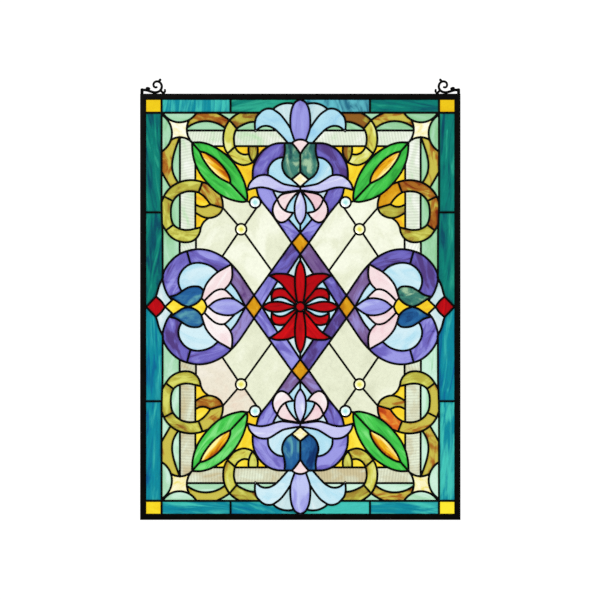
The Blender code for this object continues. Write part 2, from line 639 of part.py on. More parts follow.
def hanger(name, side, material):
    """A scroll hanger: post, S-scroll, leaf, tail, small curl and two feet, cast as one."""
    scroll = curve((POST_WIDTH / 2, POST_HEIGHT - ROD_RADIUS), (9, 5.2), (14.5, 3.5), SCROLL_LOW, (26, 3.1),
                   (29.6, 6.4), (30.8, 10.6), (29.6, 14.6), (27, 17.1), SCROLL_TOP, (20.4, 16.5),
                   (18.9, 13.6), (19.5, 10.7), (21.4, 9.2), (23.6, 9.4), steps=2)
    curl = curve((29.6, 5.2), (30.8, 3), CURL_LOW, (35.4, 3.2), (35.3, 5.8), steps=2)
    tail = curve((26.6, 16.9), (27.2, 19.2), (29, 21.4), steps=2)
    leaf = bmesh.new()
    bmesh.ops.create_icosphere(leaf, subdivisions=1, radius=0.5)
    bmesh.ops.scale(leaf, verts=leaf.verts[:], vec=Vector(LEAF_SIZE).xzy * MM)
    bmesh.ops.rotate(leaf, verts=leaf.verts[:], matrix=Matrix.Rotation(side * math.radians(-LEAF_LEAN), 3, "Y"))
    bmesh.ops.translate(leaf, verts=leaf.verts[:], vec=hanger_place(*LEAF_PLACE, side))
    pieces = [
        rod(scroll, tapered(len(scroll), ROD_RADIUS, 1.0, SCROLL_END), side),
        rod(curl, tapered(len(curl), ROD_RADIUS, 1.0, 1.0), side),
        rod(tail, tapered(len(tail), ROD_RADIUS, 1.0, TAIL_END), side),
        leaf,
    ]
    for low in (SCROLL_LOW, CURL_LOW):
        pieces.append(block((low[0] - FOOT_WIDTH / 2, GAP), (low[0] + FOOT_WIDTH / 2, low[1]), ROD_RADIUS, side))
    body = new_object(name, block((0, GAP), (POST_WIDTH, POST_HEIGHT), POST_DEPTH / 2, side), material)
    for number, piece in enumerate(pieces):
        cutter = new_object(f"{name}_piece_{number}", piece, material)
        cutter.hide_render = True
        cutter.display_type = "WIRE"
        union = body.modifiers.new(f"join_{number}", "BOOLEAN")
        union.operation = "UNION"
        union.solver = "EXACT"
        union.object = cutter
    return body


def glazing(materials):
    """The leading, as one plate with an opening for each group of glasses, and the groups."""
    lines = [border_lines, corner_star_lines, top_link_lines, side_link_lines, leaf_lines, crest_lines,
             lotus_lines, medallion_lines, side_lotus_lines, pane_lines]
    runs = [simplify(run, LINE_TOLERANCE) for draw in lines for run in draw()]
    places, loops = cut_glass(runs)
    rim = [Vector((x * (SIGHT_X + BITE), z * (SIGHT_Z + BITE))) for x, z in ((-1, -1), (1, -1), (1, 1), (-1, 1))]
    openings = []
    for group, (copies, colour, seeds) in GROUPS.items():
        for copy, signs in copies.items():
            spots = [Vector((x_sign * x, z_sign * z)) for x, z in seeds for x_sign, z_sign in signs]
            ring = outline(places, loops, spots)
            ring = simplify(ring + ring[:1], OUTLINE_TOLERANCE)[:-1]
            opening = inset(ring, LEAD_WIDTH / 2, OPENING_TOLERANCE)
            openings.append(opening)
            plate(f"{group}_{copy}", [inset(opening, GAP, GLASS_TOLERANCE)], GLASS_THICKNESS, materials[colour])
    plate("leading", [rim, *openings], LEAD_THICKNESS, materials["lead"])


def frame(materials):
    """Four mitred came bars round the glazing."""
    for name, sign in (("frame_top", 1), ("frame_bottom", -1)):
        frame_bar(name, SIGHT_X, SIGHT_Z, True, sign, materials["came"])
    for name, sign in (("frame_right", 1), ("frame_left", -1)):
        frame_bar(name, SIGHT_Z, SIGHT_X, False, sign, materials["came"])


def main():
    """Build the panel."""
    for thing in list(bpy.data.objects):
        bpy.data.objects.remove(thing)
    materials = {
        "came": new_material("came", (0.012, 0.011, 0.010), 0.45, 0.9),
        "lead": new_material("lead", (0.010, 0.010, 0.010), 0.50, 0.8),
        "hanger": new_material("hanger", (0.008, 0.008, 0.008), 0.50, 0.9),
        "yellow_glass": new_material("yellow_glass", (0.91, 0.66, 0.02), 0.15),
        "teal_glass": new_material("teal_glass", (0.02, 0.27, 0.28), 0.15),
        "amber_glass": new_material("amber_glass", (0.48, 0.46, 0.06), 0.15),
        "green_glass": new_material("green_glass", (0.05, 0.52, 0.09), 0.15),
        "clear_glass": new_material("clear_glass", (0.83, 0.86, 0.74), 0.10),
        "cream_glass": new_material("cream_glass", (0.88, 0.88, 0.45), 0.10),
        "purple_glass": new_material("purple_glass", (0.30, 0.25, 0.68), 0.15),
        "blue_glass": new_material("blue_glass", (0.42, 0.68, 0.88), 0.15),
        "red_glass": new_material("red_glass", (0.65, 0.01, 0.01), 0.15),
    }
    frame(materials)
    glazing(materials)
    hanger("hanger_left", -1, materials["hanger"])
    hanger("hanger_right", 1, materials["hanger"])


main()
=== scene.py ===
"""Dresses a leaded stained glass panel: its cut glasses, solder lines, came frame and scroll hangers.

Sizes are in millimetres until they go into a mesh. X runs right, Y back and Z up, and the origin is
midway between the two hooks, above the panel.
"""
import logging
import math
import random
from collections.abc import Callable
from dataclasses import dataclass, field
from enum import Enum

import bmesh
import bpy
from mathutils import Matrix, Vector
from mathutils.geometry import delaunay_2d_cdt


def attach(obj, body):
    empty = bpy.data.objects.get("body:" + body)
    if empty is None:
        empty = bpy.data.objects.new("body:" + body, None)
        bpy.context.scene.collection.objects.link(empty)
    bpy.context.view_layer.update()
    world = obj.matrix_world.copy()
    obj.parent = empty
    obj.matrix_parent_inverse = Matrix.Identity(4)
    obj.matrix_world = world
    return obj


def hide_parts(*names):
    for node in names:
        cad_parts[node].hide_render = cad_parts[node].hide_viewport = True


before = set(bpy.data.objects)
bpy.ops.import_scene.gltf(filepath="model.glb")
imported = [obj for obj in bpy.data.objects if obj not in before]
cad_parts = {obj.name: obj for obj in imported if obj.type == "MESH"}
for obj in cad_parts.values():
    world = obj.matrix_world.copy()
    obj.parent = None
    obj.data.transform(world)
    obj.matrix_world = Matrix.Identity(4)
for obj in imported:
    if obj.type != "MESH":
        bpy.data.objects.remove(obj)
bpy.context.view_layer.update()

MM = 0.001
LOG = logging.getLogger("panel")

Run = list[Vector]
Place = tuple[float, float]


@dataclass(frozen=True)
class PanelSizes:
    """Driving sizes of the panel, in millimetres."""
    width: float = 457.0
    height: float = 608.0
    depth: float = 9.0               # of the frame, front to back
    frame_face: float = 8.5          # the came's width, seen from the front
    frame_lip: float = 1.7           # thickness of the came's walls round its channel
    bite: float = 2.5                # how far the glass goes into the channel
    channel_clearance: float = 0.5   # how much deeper the channel is than that
    side_border: float = 22.0
    top_border: float = 18.5
    glass: float = 3.0               # thickness of the glass
    lead: float = 5.0                # thickness of the solder, over both beads
    thick_line: float = 3.1
    thin_line: float = 3.0
    hook_height: float = 320.2       # of the origin, over the panel's middle
    cartoon_x: float = 198.0         # half the field inside the border, as it is drawn
    cartoon_z: float = 277.0

    @property
    def sight_x(self) -> float:
        """Half width of the opening inside the frame."""
        return self.width / 2 - self.frame_face

    @property
    def sight_z(self) -> float:
        """Half height of the opening inside the frame."""
        return self.height / 2 - self.frame_face

    @property
    def scale(self) -> Vector:
        """Millimetres on the panel for one on the cartoon, across and up."""
        return Vector(((self.sight_x - self.side_border) / self.cartoon_x,
                       (self.sight_z - self.top_border) / self.cartoon_z))


SIZES = PanelSizes()
EDGE_X = (SIZES.sight_x + SIZES.bite) / SIZES.scale.x
EDGE_Z = (SIZES.sight_z + SIZES.bite) / SIZES.scale.y
SILL_X = SIZES.sight_x / SIZES.scale.x
JEWEL_RADIUS = 7.7
FLOWER_RADIUS = 6.8
RUN_TOLERANCE = 0.04   # how far a lead line may stray when its points are thinned
CROSSING = 1e-3        # ends of lead lines nearer than this are one crossing
TOUCHING = 1e-4        # corners of a ring nearer than this are one corner
ON_MIDDLE = 0.5        # a glass lies across a middle line of the panel when its own middle is this near

# Corners of the pattern where several lead lines meet, on the cartoon
STAR = (154.5, 234.5)
LEAF_FOOT = (76, 150.7)
LEAF_HEAD = (143.5, 221.8)
LENS_FOOT = (99.8, 176)
HEART_TOP = (22.5, 233.7)
CREST_FOOT = (8, 236.8)
FAN_CORNER = (12, 233.9)
RING_KNOT = (101, 266.3)
DROP_TIP = (68, 206)
LOTUS_KNOT = (0, 166.5)
LOTUS_CORNER = (12.3, 181.7)
PEACH_CORNER = (33, 153.7)
BULB_LEFT = (6.5, 133.8)
BAND_TOP = (12.3, 91.3)
BAND_SIDE = (66, 16.5)
MEDALLION_TOP = (0, 75)
MEDALLION_SIDE = (54.8, 0)
LOOP_END = (145.3, 163.2)
LOBE_IN = (128.5, 146.3)
LOBE_OUT = (110.3, 141)
RED_TIP = (43.5, 44.3)
PINK_TOP = (98.3, 60.8)
PINK_FOOT = (141, 12.3)
SIDE_KNOT = (160, 0)
SIDE_LOTUS = (78, 0)
WING_TIP = (75.5, 166.5)
CREAM_JEWEL = (84.5, 110.7)
AQUA_JEWEL = (64.5, 149)


def line(*points: Place) -> Run:
    """Straight runs through the points."""
    return [Vector(point) for point in points]


def curve(*points: Place, steps: int = 10) -> Run:
    """A smooth run through the points, as a centripetal spline.

    Args:
        points: the places that the run passes through.
        steps: how many pieces lie between two places.

    Returns:
        The run's points.
    """
    knots = [Vector(point) for point in points]
    knots = [2 * knots[0] - knots[1], *knots, 2 * knots[-1] - knots[-2]]
    run = []
    for before, start, end, after in zip(knots, knots[1:], knots[2:], knots[3:]):
        first = (start - before).length ** 0.5
        second = first + (end - start).length ** 0.5
        third = second + (after - end).length ** 0.5
        for step in range(steps):
            here = first + (second - first) * step / steps
            across = (here - first) / (second - first)
            left = before.lerp(start, here / first).lerp(start.lerp(end, across), here / second)
            right = start.lerp(end, across).lerp(end.lerp(after, (here - second) / (third - second)),
                                                 (here - first) / (third - first))
            run.append(left.lerp(right, across))
    return run + [knots[-2]]


def arc(start: Place, middle: Place, end: Place, steps: int = 24) -> Run:
    """The arc of a circle from start through middle to end.

    Args:
        start: its first point.
        middle: a point on it.
        end: its last point.
        steps: how many pieces it has.

    Returns:
        The arc's points.
    """
    (ax, az), (bx, bz), (cx, cz) = start, middle, end
    twice_area = 2 * (ax * (bz - cz) + bx * (cz - az) + cx * (az - bz))
    a_square, b_square, c_square = ax * ax + az * az, bx * bx + bz * bz, cx * cx + cz * cz
    centre = Vector(((a_square * (bz - cz) + b_square * (cz - az) + c_square * (az - bz)) / twice_area,
                     (a_square * (cx - bx) + b_square * (ax - cx) + c_square * (bx - ax)) / twice_area))
    radius = (Vector(start) - centre).length
    first, halfway, last = (math.atan2(z - centre.y, x - centre.x) for x, z in (start, middle, end))
    turn = (last - first) % math.tau
    if (halfway - first) % math.tau > turn:
        turn -= math.tau
    angles = [first + turn * step / steps for step in range(steps + 1)]
    return [centre + radius * Vector((math.cos(angle), math.sin(angle))) for angle in angles]


def circle(centre: Place, radius: float, steps: int = 40) -> Run:
    """A closed circle.

    Args:
        centre: its middle.
        radius: its radius.
        steps: how many sides it has.

    Returns:
        The circle's points, the first one again at the end.
    """
    angles = [math.tau * step / steps for step in range(steps)]
    ring = [Vector(centre) + radius * Vector((math.cos(angle), math.sin(angle))) for angle in angles]
    return ring + ring[:1]


class Cartoon:
    """The lead lines of one quarter of the panel, motif by motif."""

    def border(self) -> list[Run]:
        """Lines of the coloured border."""
        return [
            line((EDGE_X, SIZES.cartoon_z), (57.5, SIZES.cartoon_z)),
            line((SIZES.cartoon_x, EDGE_Z), (SIZES.cartoon_x, 140), (196.6, 105), (196.4, 48), (195.6, 38)),
            line((99.5, EDGE_Z), (99.5, SIZES.cartoon_z - 1)),
            line((EDGE_X, 134.8), (SIZES.cartoon_x - 2, 134.8)),
            line((0, 296), (0, EDGE_Z)),
        ]

    def corner_star(self) -> list[Run]:
        """The four arcs round the cream star in the corner."""
        return [
            arc((197, 278), (172.3, 263.3), (147.6, 278)),
            arc((199.5, 275), (183.3, 250), (199, 221)),
            arc((150.5, 275.5), (162, 253), STAR),
            arc((187.5, 236), (171, 242), STAR),
        ]

    def top_link(self) -> list[Run]:
        """Strapwork that runs from the corner star to the crest."""
        return [
            arc((122, 278), (111, 272.8), RING_KNOT),
            arc((163, 254.5), (135, 265), (106.5, 254.2)),
            line((163, 251.7), (107, 251.7)),
            line((128, 229.3), (107, 229.3)),
            curve((84, 278.5), (93, 273.3), RING_KNOT, (107.8, 254), (110, 240), (108.3, 227.5),
                  (103.8, 218.5), (95, 207.8), (83, 202.4), (74.5, 203.2), DROP_TIP),
            curve((64, 264.3), (73, 263.2), (82, 259.7), (90.5, 254.3), (94.2, 246), (94.8, 238),
                  (92.7, 227.5), (87.5, 220.5), (80, 217.3), (72.5, 218.3)),
            line(RING_KNOT, (90, 253.6)),
            line((105, 218), (92.5, 229)),
            line((94.5, 251.7), (32, 251.7)),
            line((94, 229.3), (43, 229.3)),
            curve((73.7, 230.5), (74, 222), (72, 213.5), DROP_TIP),
            curve((61.3, 230.5), (60.6, 222), (62.5, 214), DROP_TIP),
            line(DROP_TIP, (63.5, 207.2)),
            line((95.8, 211.5), (99.2, 207.2)),
        ]

    def side_link(self) -> list[Run]:
        """Strapwork that runs from the corner star down to the side heart."""
        return [
            curve((171.8, 242.5), (177, 229), (181, 216), (183, 203), (181.8, 192), (178.4, 183.7),
                  (173.5, 176)),
            curve((199, 194.5), (193.5, 184.5), (184.3, 168.8)),
            line((171.8, 242.5), (171.8, 177)),
            line((149.8, 207), (149.8, 179)),
            line((171.8, 162.5), (171.8, 110)),
            line((149.8, 165.5), (149.8, 110.5)),
            line((172.2, 94.5), (172.2, 74)),
            line((148.9, 99), (148.9, 80.5)),
            curve((130, 174.5), (140, 178.2), (148, 180.2), (157, 180.8), (167, 179.5), (177, 175.8),
                  (186.5, 169), (193.5, 160), (199, 147)),
            curve((199, 122), (196, 115.5), (192.3, 109.5), (185.5, 100.5), (176, 94.5), (165, 92),
                  (155, 93.5), (147.5, 98.8), (143.3, 106.5), (141.8, 113.5), (137.8, 121), (129, 128)),
            curve(LOOP_END, (153, 164.8), (162, 164.5), (171, 161.5), (178, 156), (183, 148), (184.8, 137),
                  (184, 125), (180.5, 116.7), (174, 112), (166, 109.8), (158, 109.8), (150, 111.5),
                  (141.8, 113.5)),
            line((196.5, 158.5), (180.5, 150.4)),
            line((194, 107.4), (179.3, 118.5)),
            curve((139.2, 179.5), (142.2, 171), LOOP_END),
            curve((114.2, 161), (111, 150.5), LOBE_OUT),
            curve(LOOP_END, (138.5, 158.5), (132.5, 152), LOBE_IN),
            curve(LOBE_IN, (120, 143.8), LOBE_OUT),
            curve(LOBE_OUT, (114.5, 133.5), (122, 128.5), (131, 126.7), (139.5, 128.5), (151, 135)),
            curve((151, 147), (143.5, 143.2), (136, 143), LOBE_IN),
        ]

    def leaf(self) -> list[Run]:
        """The slanted leaf, its lens, its veins and the aqua jewel at its foot."""
        return [
            curve(STAR, (142, 234.6), (130.5, 231.8), (118, 225.5), (106.5, 217.3), (96.5, 207), (88, 195),
                  (81.5, 182), (77.3, 169), (75.5, 157), LEAF_FOOT),
            curve(STAR, (153.8, 221), (151, 207.5), (145.5, 194.5), (137.5, 182.5), (127.5, 171),
                  (116, 161.3), (104, 154.8), (92, 151), (83, 149.6), LEAF_FOOT),
            curve(LEAF_HEAD, (137, 220.3), (129, 216.5), (119.3, 209.8), (109.8, 199.8), (103.3, 190),
                  (100.2, 182), LENS_FOOT),
            curve(LEAF_HEAD, (139, 211.5), (132.5, 201.5), (124.5, 192), (115, 184), (106.5, 179.3),
                  LENS_FOOT),
            line(STAR, LEAF_HEAD),
            line(LENS_FOOT, LEAF_FOOT),
            circle(AQUA_JEWEL, JEWEL_RADIUS),
            line(LEAF_FOOT, (70, 149)),
            line((52, 148.5), (59, 150)),
        ]

    def crest(self) -> list[Run]:
        """Fleur at the top of the field, cut into the border."""
        return [
            curve((64.3, 250.5), (64.8, 262), (62.5, 271), (57.5, 277)),
            arc((57.5, 277), (48, 282.6), (39, 282)),
            curve((39, 282), (29, 275), (20, 264), (12.5, 252)),
            curve((64.3, 250.5), (55, 257.3), (46, 258), (37, 254), (28, 245.5), (16.5, 232.5)),
            arc((39, 282), (26, 289.6), (9, 289.3)),
            curve((0, 296), (7, 292.3), (11.5, 284.5), (14, 272), (13.8, 254.5), (11.3, 246), CREST_FOOT),
            arc(CREST_FOOT, (0, 238.8), (-CREST_FOOT[0], CREST_FOOT[1])),
            line(CREST_FOOT, FAN_CORNER),
            curve(FAN_CORNER, (5.5, 226.3), (0, 218)),
        ]

    def lotus(self) -> list[Run]:
        """Heart-shaped scroll with the lotus bud, under the crest."""
        return [
            line(HEART_TOP, FAN_CORNER),
            line((0, 218), (0, 192)),
            line((0, 192), LOTUS_CORNER, (0, 171)),
            curve(HEART_TOP, (22, 224), (23.5, 214), (26, 204), (24.5, 195), (20, 187.5), LOTUS_CORNER),
            curve(HEART_TOP, (33, 233.3), (43, 230.2), (53, 223.5), (61, 214), (66, 203.5), (67.9, 193),
                  (68, 180)),
            curve((22.5, 214), (33, 211.5), (40.5, 206), (45.3, 198), (46.3, 186)),
            curve(WING_TIP, (73, 175), (67.5, 182), (60, 186.8), (51, 188.3), (44, 187), (34, 181),
                  (25, 175.8), (15, 173.4), (0, 171)),
            curve(WING_TIP, (66, 169.2), (56, 170.5), (46, 169), (36, 165.6), (27, 163.6), (17, 164.3),
                  LOTUS_KNOT),
            line(WING_TIP, (78.5, 165.5)),
            line((0, 171), LOTUS_KNOT),
            curve((63, 171.5), (60, 159), (55, 150), (48.5, 142), (41, 132.5)),
            curve((40.2, 169), (36.5, 160.5), PEACH_CORNER),
            curve(PEACH_CORNER, (28, 159.3), (20, 162.2), (10, 164), LOTUS_KNOT),
            curve(PEACH_CORNER, (37.5, 146.5), (39.5, 137.5), (37.3, 129), (32.8, 122.8), (27, 120.3),
                  (20.5, 122.5), (15.5, 127), (9.8, 135)),
            line((34.8, 126.3), (37.3, 125.1)),
            curve(PEACH_CORNER, (29.5, 145.5), (24.5, 139.3), (18.5, 135.7), BULB_LEFT),
            curve((21.5, 136.2), (18, 145), (13, 153), (7, 160), LOTUS_KNOT),
            curve(LOTUS_KNOT, (4.5, 157.5), (7.5, 148), (8.2, 138), (7, 129), (4, 122.5), (0, 117)),
            line((0, 117), (0, 105.5)),
            line((18.5, 127), (0, 105.5)),
        ]

    def medallion(self) -> list[Run]:
        """Diamond of purple bands round the red flower, with an amber diamond on each corner."""
        return [
            line((41, 132.5), BAND_TOP, BAND_SIDE),
            line((0, 105.5), BAND_TOP, MEDALLION_TOP),
            line(MEDALLION_SIDE, BAND_SIDE, SIDE_LOTUS),
            line(MEDALLION_TOP, (19.5, 45.5)),
            line((31.5, 37.8), MEDALLION_SIDE),
            line(MEDALLION_TOP, (0, 66.5)),
            curve((0, 66.5), (4.5, 58), (7, 47), (7.7, 35), (6.8, 22), (4.2, 4)),
            curve(RED_TIP, (36, 46.8), (27, 47.2), (17, 46), (6, 41.5)),
            curve(RED_TIP, (35, 38.8), (27, 32.5), (20.5, 24.3), (3.5, 3.8)),
            line(RED_TIP, (47.5, 43.9)),
            curve((40.8, 8), (41, 17), (37.5, 23.7), (30, 26.2), (23.5, 25.5), (17.3, 22.3)),
            curve((40.8, 8.8), (36, 11.9), (29, 13.8), (21.5, 12.3), (13, 7.3), (5, 2.3)),
            curve(MEDALLION_SIDE, (46, 5.3), (37, 7.2), (28, 6.9), (19, 4.6), (10, 1.8), (5, 0.5)),
            line((40.8, 10), (40.8, 5.5)),
            line((38.5, 20), (43.5, 20.5)),
            circle((0, 0), FLOWER_RADIUS),
        ]

    def side_lotus(self) -> list[Run]:
        """Heart-shaped scroll with its bud at the side, and the red diamond in the border."""
        return [
            curve(BAND_SIDE, (78, 34.5), (88, 49), (98, 60.5), (108, 69.5), (120, 76.5), (133, 81),
                  (147, 82.2), (160, 80), (172, 75.5), (182, 68), (190.5, 58), (195.8, 47), (196.4, 38),
                  (194, 28), (189.5, 17.5), (183.3, 9.2)),
            curve((116.5, 49), (126, 57), (136, 61.3), (147, 62.8), (157, 60.8), (166, 54.8), (172, 46),
                  (174, 37), (172.5, 28.5), (168.5, 21)),
            line((162.3, 81), (156.2, 59.5)),
            curve((101.5, 36.5), (91.5, 24), (85.5, 13.5), SIDE_LOTUS),
            curve(PINK_TOP, (108, 55.3), (117.5, 49.8), (127, 41.5), (134.5, 31.5), (138.5, 21), PINK_FOOT),
            curve(PINK_TOP, (97, 50), (97.8, 40), (101.5, 32), (109, 24)),
            curve((93, 10.3), (101, 18.5), (108, 24.3), (114, 25), (121, 22.8), (128, 17.5), (138, 7.3)),
            curve((131.5, 0), (122, 7.7), (112, 11.3), (102, 12.2), (94, 10.8), (86.5, 6.3), SIDE_LOTUS),
            curve(PINK_FOOT, (136.5, 7.5), (133.3, 0)),
            line((133.3, 0), (131.5, 0)),
            curve((187.5, 14.2), (177, 17), (168.5, 22.5), (160, 27.5), (151, 29.2), (143, 28),
                  (137.5, 22.5)),
            curve(PINK_FOOT, (145, 7.5), (151.5, 3), SIDE_KNOT),
            curve(SIDE_KNOT, (168.5, 2.8), (176.5, 8), (187.5, 14.2)),
            line((183.3, 9.2), (193, 0)),
            curve((195.2, 43.5), (201.5, 30), (204.3, 20), (206, 14.7)),
            line((SILL_X, 0), (206, 14.7)),
            curve((206, 14.7), (198.5, 8), (193, 0)),
            line((SILL_X, 0), (EDGE_X, 0)),
        ]

    def panes(self) -> list[Run]:
        """Clear field between the motifs, with the cream jewel where its lines cross."""
        return [
            circle(CREAM_JEWEL, JEWEL_RADIUS),
            line((88, 115.2), LOBE_OUT),
            line((80.5, 115), (61.6, 142.5)),
            line((88, 106.5), (112, 71)),
            line((80.5, 106.5), (40.5, 51)),
        ]

    def runs(self) -> list[tuple[Run, float]]:
        """Every lead line of the quarter. The straight ones round clear glass are thin.

        Returns:
            Each line with its width.
        """
        thin = [run for motif in (self.border, self.panes) for run in motif()]
        thick = [run for motif in (self.corner_star, self.leaf, self.crest, self.lotus, self.medallion,
                                   self.side_lotus) for run in motif()]
        for run in self.top_link() + self.side_link():
            (thin if len(run) == 2 else thick).append(run)
        return [(run, SIZES.thin_line) for run in thin] + [(run, SIZES.thick_line) for run in thick]


def simplify(points: Run, tolerance: float) -> Run:
    """Takes points off a run that add nothing to its shape.

    Args:
        points: the drawn run.
        tolerance: how far the result may lie from it.

    Returns:
        The points that are left.
    """
    if len(points) < 3:
        return points
    chord = points[-1] - points[0]
    if chord.length < tolerance:
        strays = [(point - points[0]).length for point in points]
    else:
        strays = [abs(chord.cross(point - points[0])) / chord.length for point in points]
    furthest = max(range(len(points)), key=strays.__getitem__)
    if strays[furthest] <= tolerance:
        return [points[0], points[-1]]
    return simplify(points[:furthest + 1], tolerance)[:-1] + simplify(points[furthest:], tolerance)


def sides_of(loop: list) -> zip:
    """The closed loop's sides, each as its two ends."""
    return zip(loop, loop[1:] + loop[:1])


def area_of(loop: Run) -> float:
    """Signed area of a closed loop, positive where it runs counter-clockwise."""
    return sum(a.cross(b) for a, b in sides_of(loop)) / 2


def centre_of(loop: Run) -> Vector:
    """The middle of a closed loop.

    Args:
        loop: the loop, in either direction.

    Returns:
        Its centre of area.
    """
    total = Vector((0, 0))
    for a, b in sides_of(loop):
        total += a.cross(b) * (a + b) / 6
    return total / area_of(loop)


def holds(loop: Run, spot: Vector) -> bool:
    """Whether a closed loop goes round a spot.

    Args:
        loop: the loop, in either direction.
        spot: the spot.

    Returns:
        True where the spot is inside.
    """
    inside = False
    for a, b in sides_of(loop):
        passed = (a.y > spot.y) != (b.y > spot.y)
        if passed and spot.x < a.x + (spot.y - a.y) * (b.x - a.x) / (b.y - a.y):
            inside = not inside
    return inside


def chained(sides: set[tuple[int, int]]) -> list[list[int]]:
    """Joins directed sides to closed loops.

    Args:
        sides: each side's first and last place.

    Returns:
        The loops, each passing through a place once.
    """
    onward = {}
    for a, b in sorted(sides):
        onward.setdefault(a, []).append(b)
    loops = []
    while onward:
        walk = [next(iter(onward))]
        while walk[-1] in onward:
            here = walk[-1]
            following = onward[here].pop()
            if not onward[here]:
                del onward[here]
            if following in walk:
                first = walk.index(following)
                loops.append(walk[first:])
                del walk[first + 1:]
            else:
                walk.append(following)
    return loops


def clear_of(loop: Run, spot: Vector, distances: list[float]) -> bool:
    """Whether a spot keeps its distance from a loop's sides.

    Args:
        loop: a closed loop.
        spot: the spot.
        distances: the least distance from each side.

    Returns:
        True where the spot is inside the loop and no side is too near.
    """
    for (a, b), distance in zip(sides_of(loop), distances):
        along = b - a
        share = min(1.0, max(0.0, (spot - a).dot(along) / along.length_squared))
        if (spot - a - share * along).length < distance:
            return False
    return holds(loop, spot)


def inset(loop: Run, distances: list[float], tolerance: float = 0.03) -> Run:
    """Moves a loop inward. Sides without room there fall away, and corners that stand in become arcs.

    Args:
        loop: a counter-clockwise loop.
        distances: how far each side moves.
        tolerance: how far the result may stray when its points are thinned.

    Returns:
        The largest loop that fits, or an empty one.
    """
    arc_step, nearly = 0.5, 0.97
    points, edges = [], []
    corners = zip(loop[-1:] + loop[:-1], loop, loop[1:] + loop[:1],
                  distances[-1:] + distances[:-1], distances)
    for before, here, after, near, far in corners:
        into, onto = (here - before).normalized(), (after - here).normalized()
        turn = math.atan2(into.cross(onto), into.dot(onto))
        aside = Vector((-onto.y, onto.x))
        edges.append((len(points), len(points) + 1))
        points += [here + aside * far, after + aside * far]
        if turn < 0:
            steps = math.ceil(-turn / arc_step)
            edges += [(len(points) + step, len(points) + step + 1) for step in range(steps)]
            for share in (step / steps for step in range(steps + 1)):
                turned = Matrix.Rotation(-turn * share, 2) @ aside
                points.append(here + turned * (far + (near - far) * share))
    spots, _, faces, _, _, _ = delaunay_2d_cdt(points, edges, [], 0, TOUCHING)
    kept = set()
    limits = [distance * nearly for distance in distances]
    for face in faces:
        middle = sum((spots[spot] for spot in face), Vector((0, 0))) / len(face)
        if clear_of(loop, middle, limits):
            kept.update(sides_of(face))
    rim = {(a, b) for a, b in kept if (b, a) not in kept}
    ring = max(([spots[spot] for spot in ring] for ring in chained(rim)), key=area_of, default=[])
    return simplify(ring + ring[:1], tolerance)[:-1]


def repeats(middle: Vector, x: int, z: int) -> bool:
    """Whether a glass is its own mirrored copy, because it lies across a middle line of the panel.

    Args:
        middle: the glass's middle.
        x: the copy's sign of X.
        z: the copy's sign of Z.

    Returns:
        True where the copy is left out.
    """
    return (abs(middle.x) < ON_MIDDLE and x < 0) or (abs(middle.y) < ON_MIDDLE and z < 0)


@dataclass
class Outline:
    """A glass's outline on the lead lines' centres, counter-clockwise, with each side's lead width."""
    ring: Run
    widths: list[float]

    def moved_in(self, distance: float) -> Run:
        """The outline moved inward by one distance."""
        return inset(self.ring, [distance] * len(self.ring))

    def under_lead(self, share: float) -> Run:
        """The outline moved inward by a share of half of each side's lead width."""
        return inset(self.ring, [width / 2 * share for width in self.widths])


class Cutting:
    """The panel cut along the lead lines into glasses."""
    smallest_glass: float = 1.0   # in square millimetres, inside the lead lines' centres

    def __init__(self, runs: list[tuple[Run, float]]) -> None:
        """Cuts the panel along its lead lines.

        Args:
            runs: the lead lines of one quarter, each with its width. The other quarters mirror them.
        """
        corners = [(-EDGE_X, -EDGE_Z), (EDGE_X, -EDGE_Z), (EDGE_X, EDGE_Z), (-EDGE_X, EDGE_Z)]
        rim = line(*corners, corners[0])
        copies = [([Vector((x * point.x, z * point.y)) for point in run], width)
                  for run, width in runs for x in (1, -1) for z in (1, -1)]
        points, edges, widths = [], [], []
        for run, width in [(rim, SIZES.thick_line)] + copies:
            edges += [(len(points) + step, len(points) + step + 1) for step in range(len(run) - 1)]
            widths += [width] * (len(run) - 1)
            points += run
        self.places, joins, _, _, origins, _ = delaunay_2d_cdt(points, edges, [], 0, CROSSING)
        near = [set() for _ in self.places]
        self.widths = {}
        for (a, b), origin in zip(joins, origins):
            if origin:
                near[a].add(b)
                near[b].add(a)
                self.widths[a, b] = self.widths[b, a] = max(widths[edge] for edge in origin)
        self.prune(near)
        self.outlines = self.walk(near)

    def prune(self, near: list[set[int]]) -> None:
        """Takes off lines that end in the middle of a glass.

        Args:
            near: the places that each place is joined to.
        """
        ends = [place for place, others in enumerate(near) if len(others) == 1]
        while ends:
            place = ends.pop()
            if len(near[place]) == 1:
                other = near[place].pop()
                near[other].discard(place)
                ends.append(other)

    def walk(self, near: list[set[int]]) -> list[Outline]:
        """Walks round every glass.

        Args:
            near: the places that each place is joined to.

        Returns:
            Each glass's outline on the panel, in millimetres.
        """
        turns = [sorted(others, key=lambda b, a=a: math.atan2(*(self.places[b] - self.places[a]).yx))
                 for a, others in enumerate(near)]
        walked, outlines = set(), []
        for start, others in enumerate(turns):
            for following in others:
                loop, widths, a, b = [], [], start, following
                while (a, b) not in walked:
                    walked.add((a, b))
                    loop.append(self.places[a] * SIZES.scale)
                    widths.append(self.widths[a, b])
                    a, b = b, turns[b][turns[b].index(a) - 1]
                if loop and area_of(loop) > self.smallest_glass:
                    outlines.append(Outline(loop, widths))
        return outlines

    def glass_at(self, spot: Place) -> Outline:
        """The outline of the glass that holds a spot of the cartoon."""
        target = Vector(spot) * SIZES.scale
        return next(outline for outline in self.outlines if holds(outline.ring, target))


class Surface(Enum):
    """How a sheet of glass was rolled: its relief's length and width, and its depth, in millimetres."""
    SMOOTH = (30.0, 18.0, 0.03)
    WATER = (14.0, 3.2, 0.14)
    HAMMERED = (3.4, 3.4, 0.16)
    RIPPLED = (4.2, 30.0, 0.22)
    PRESSED = (9.0, 9.0, 0.02)


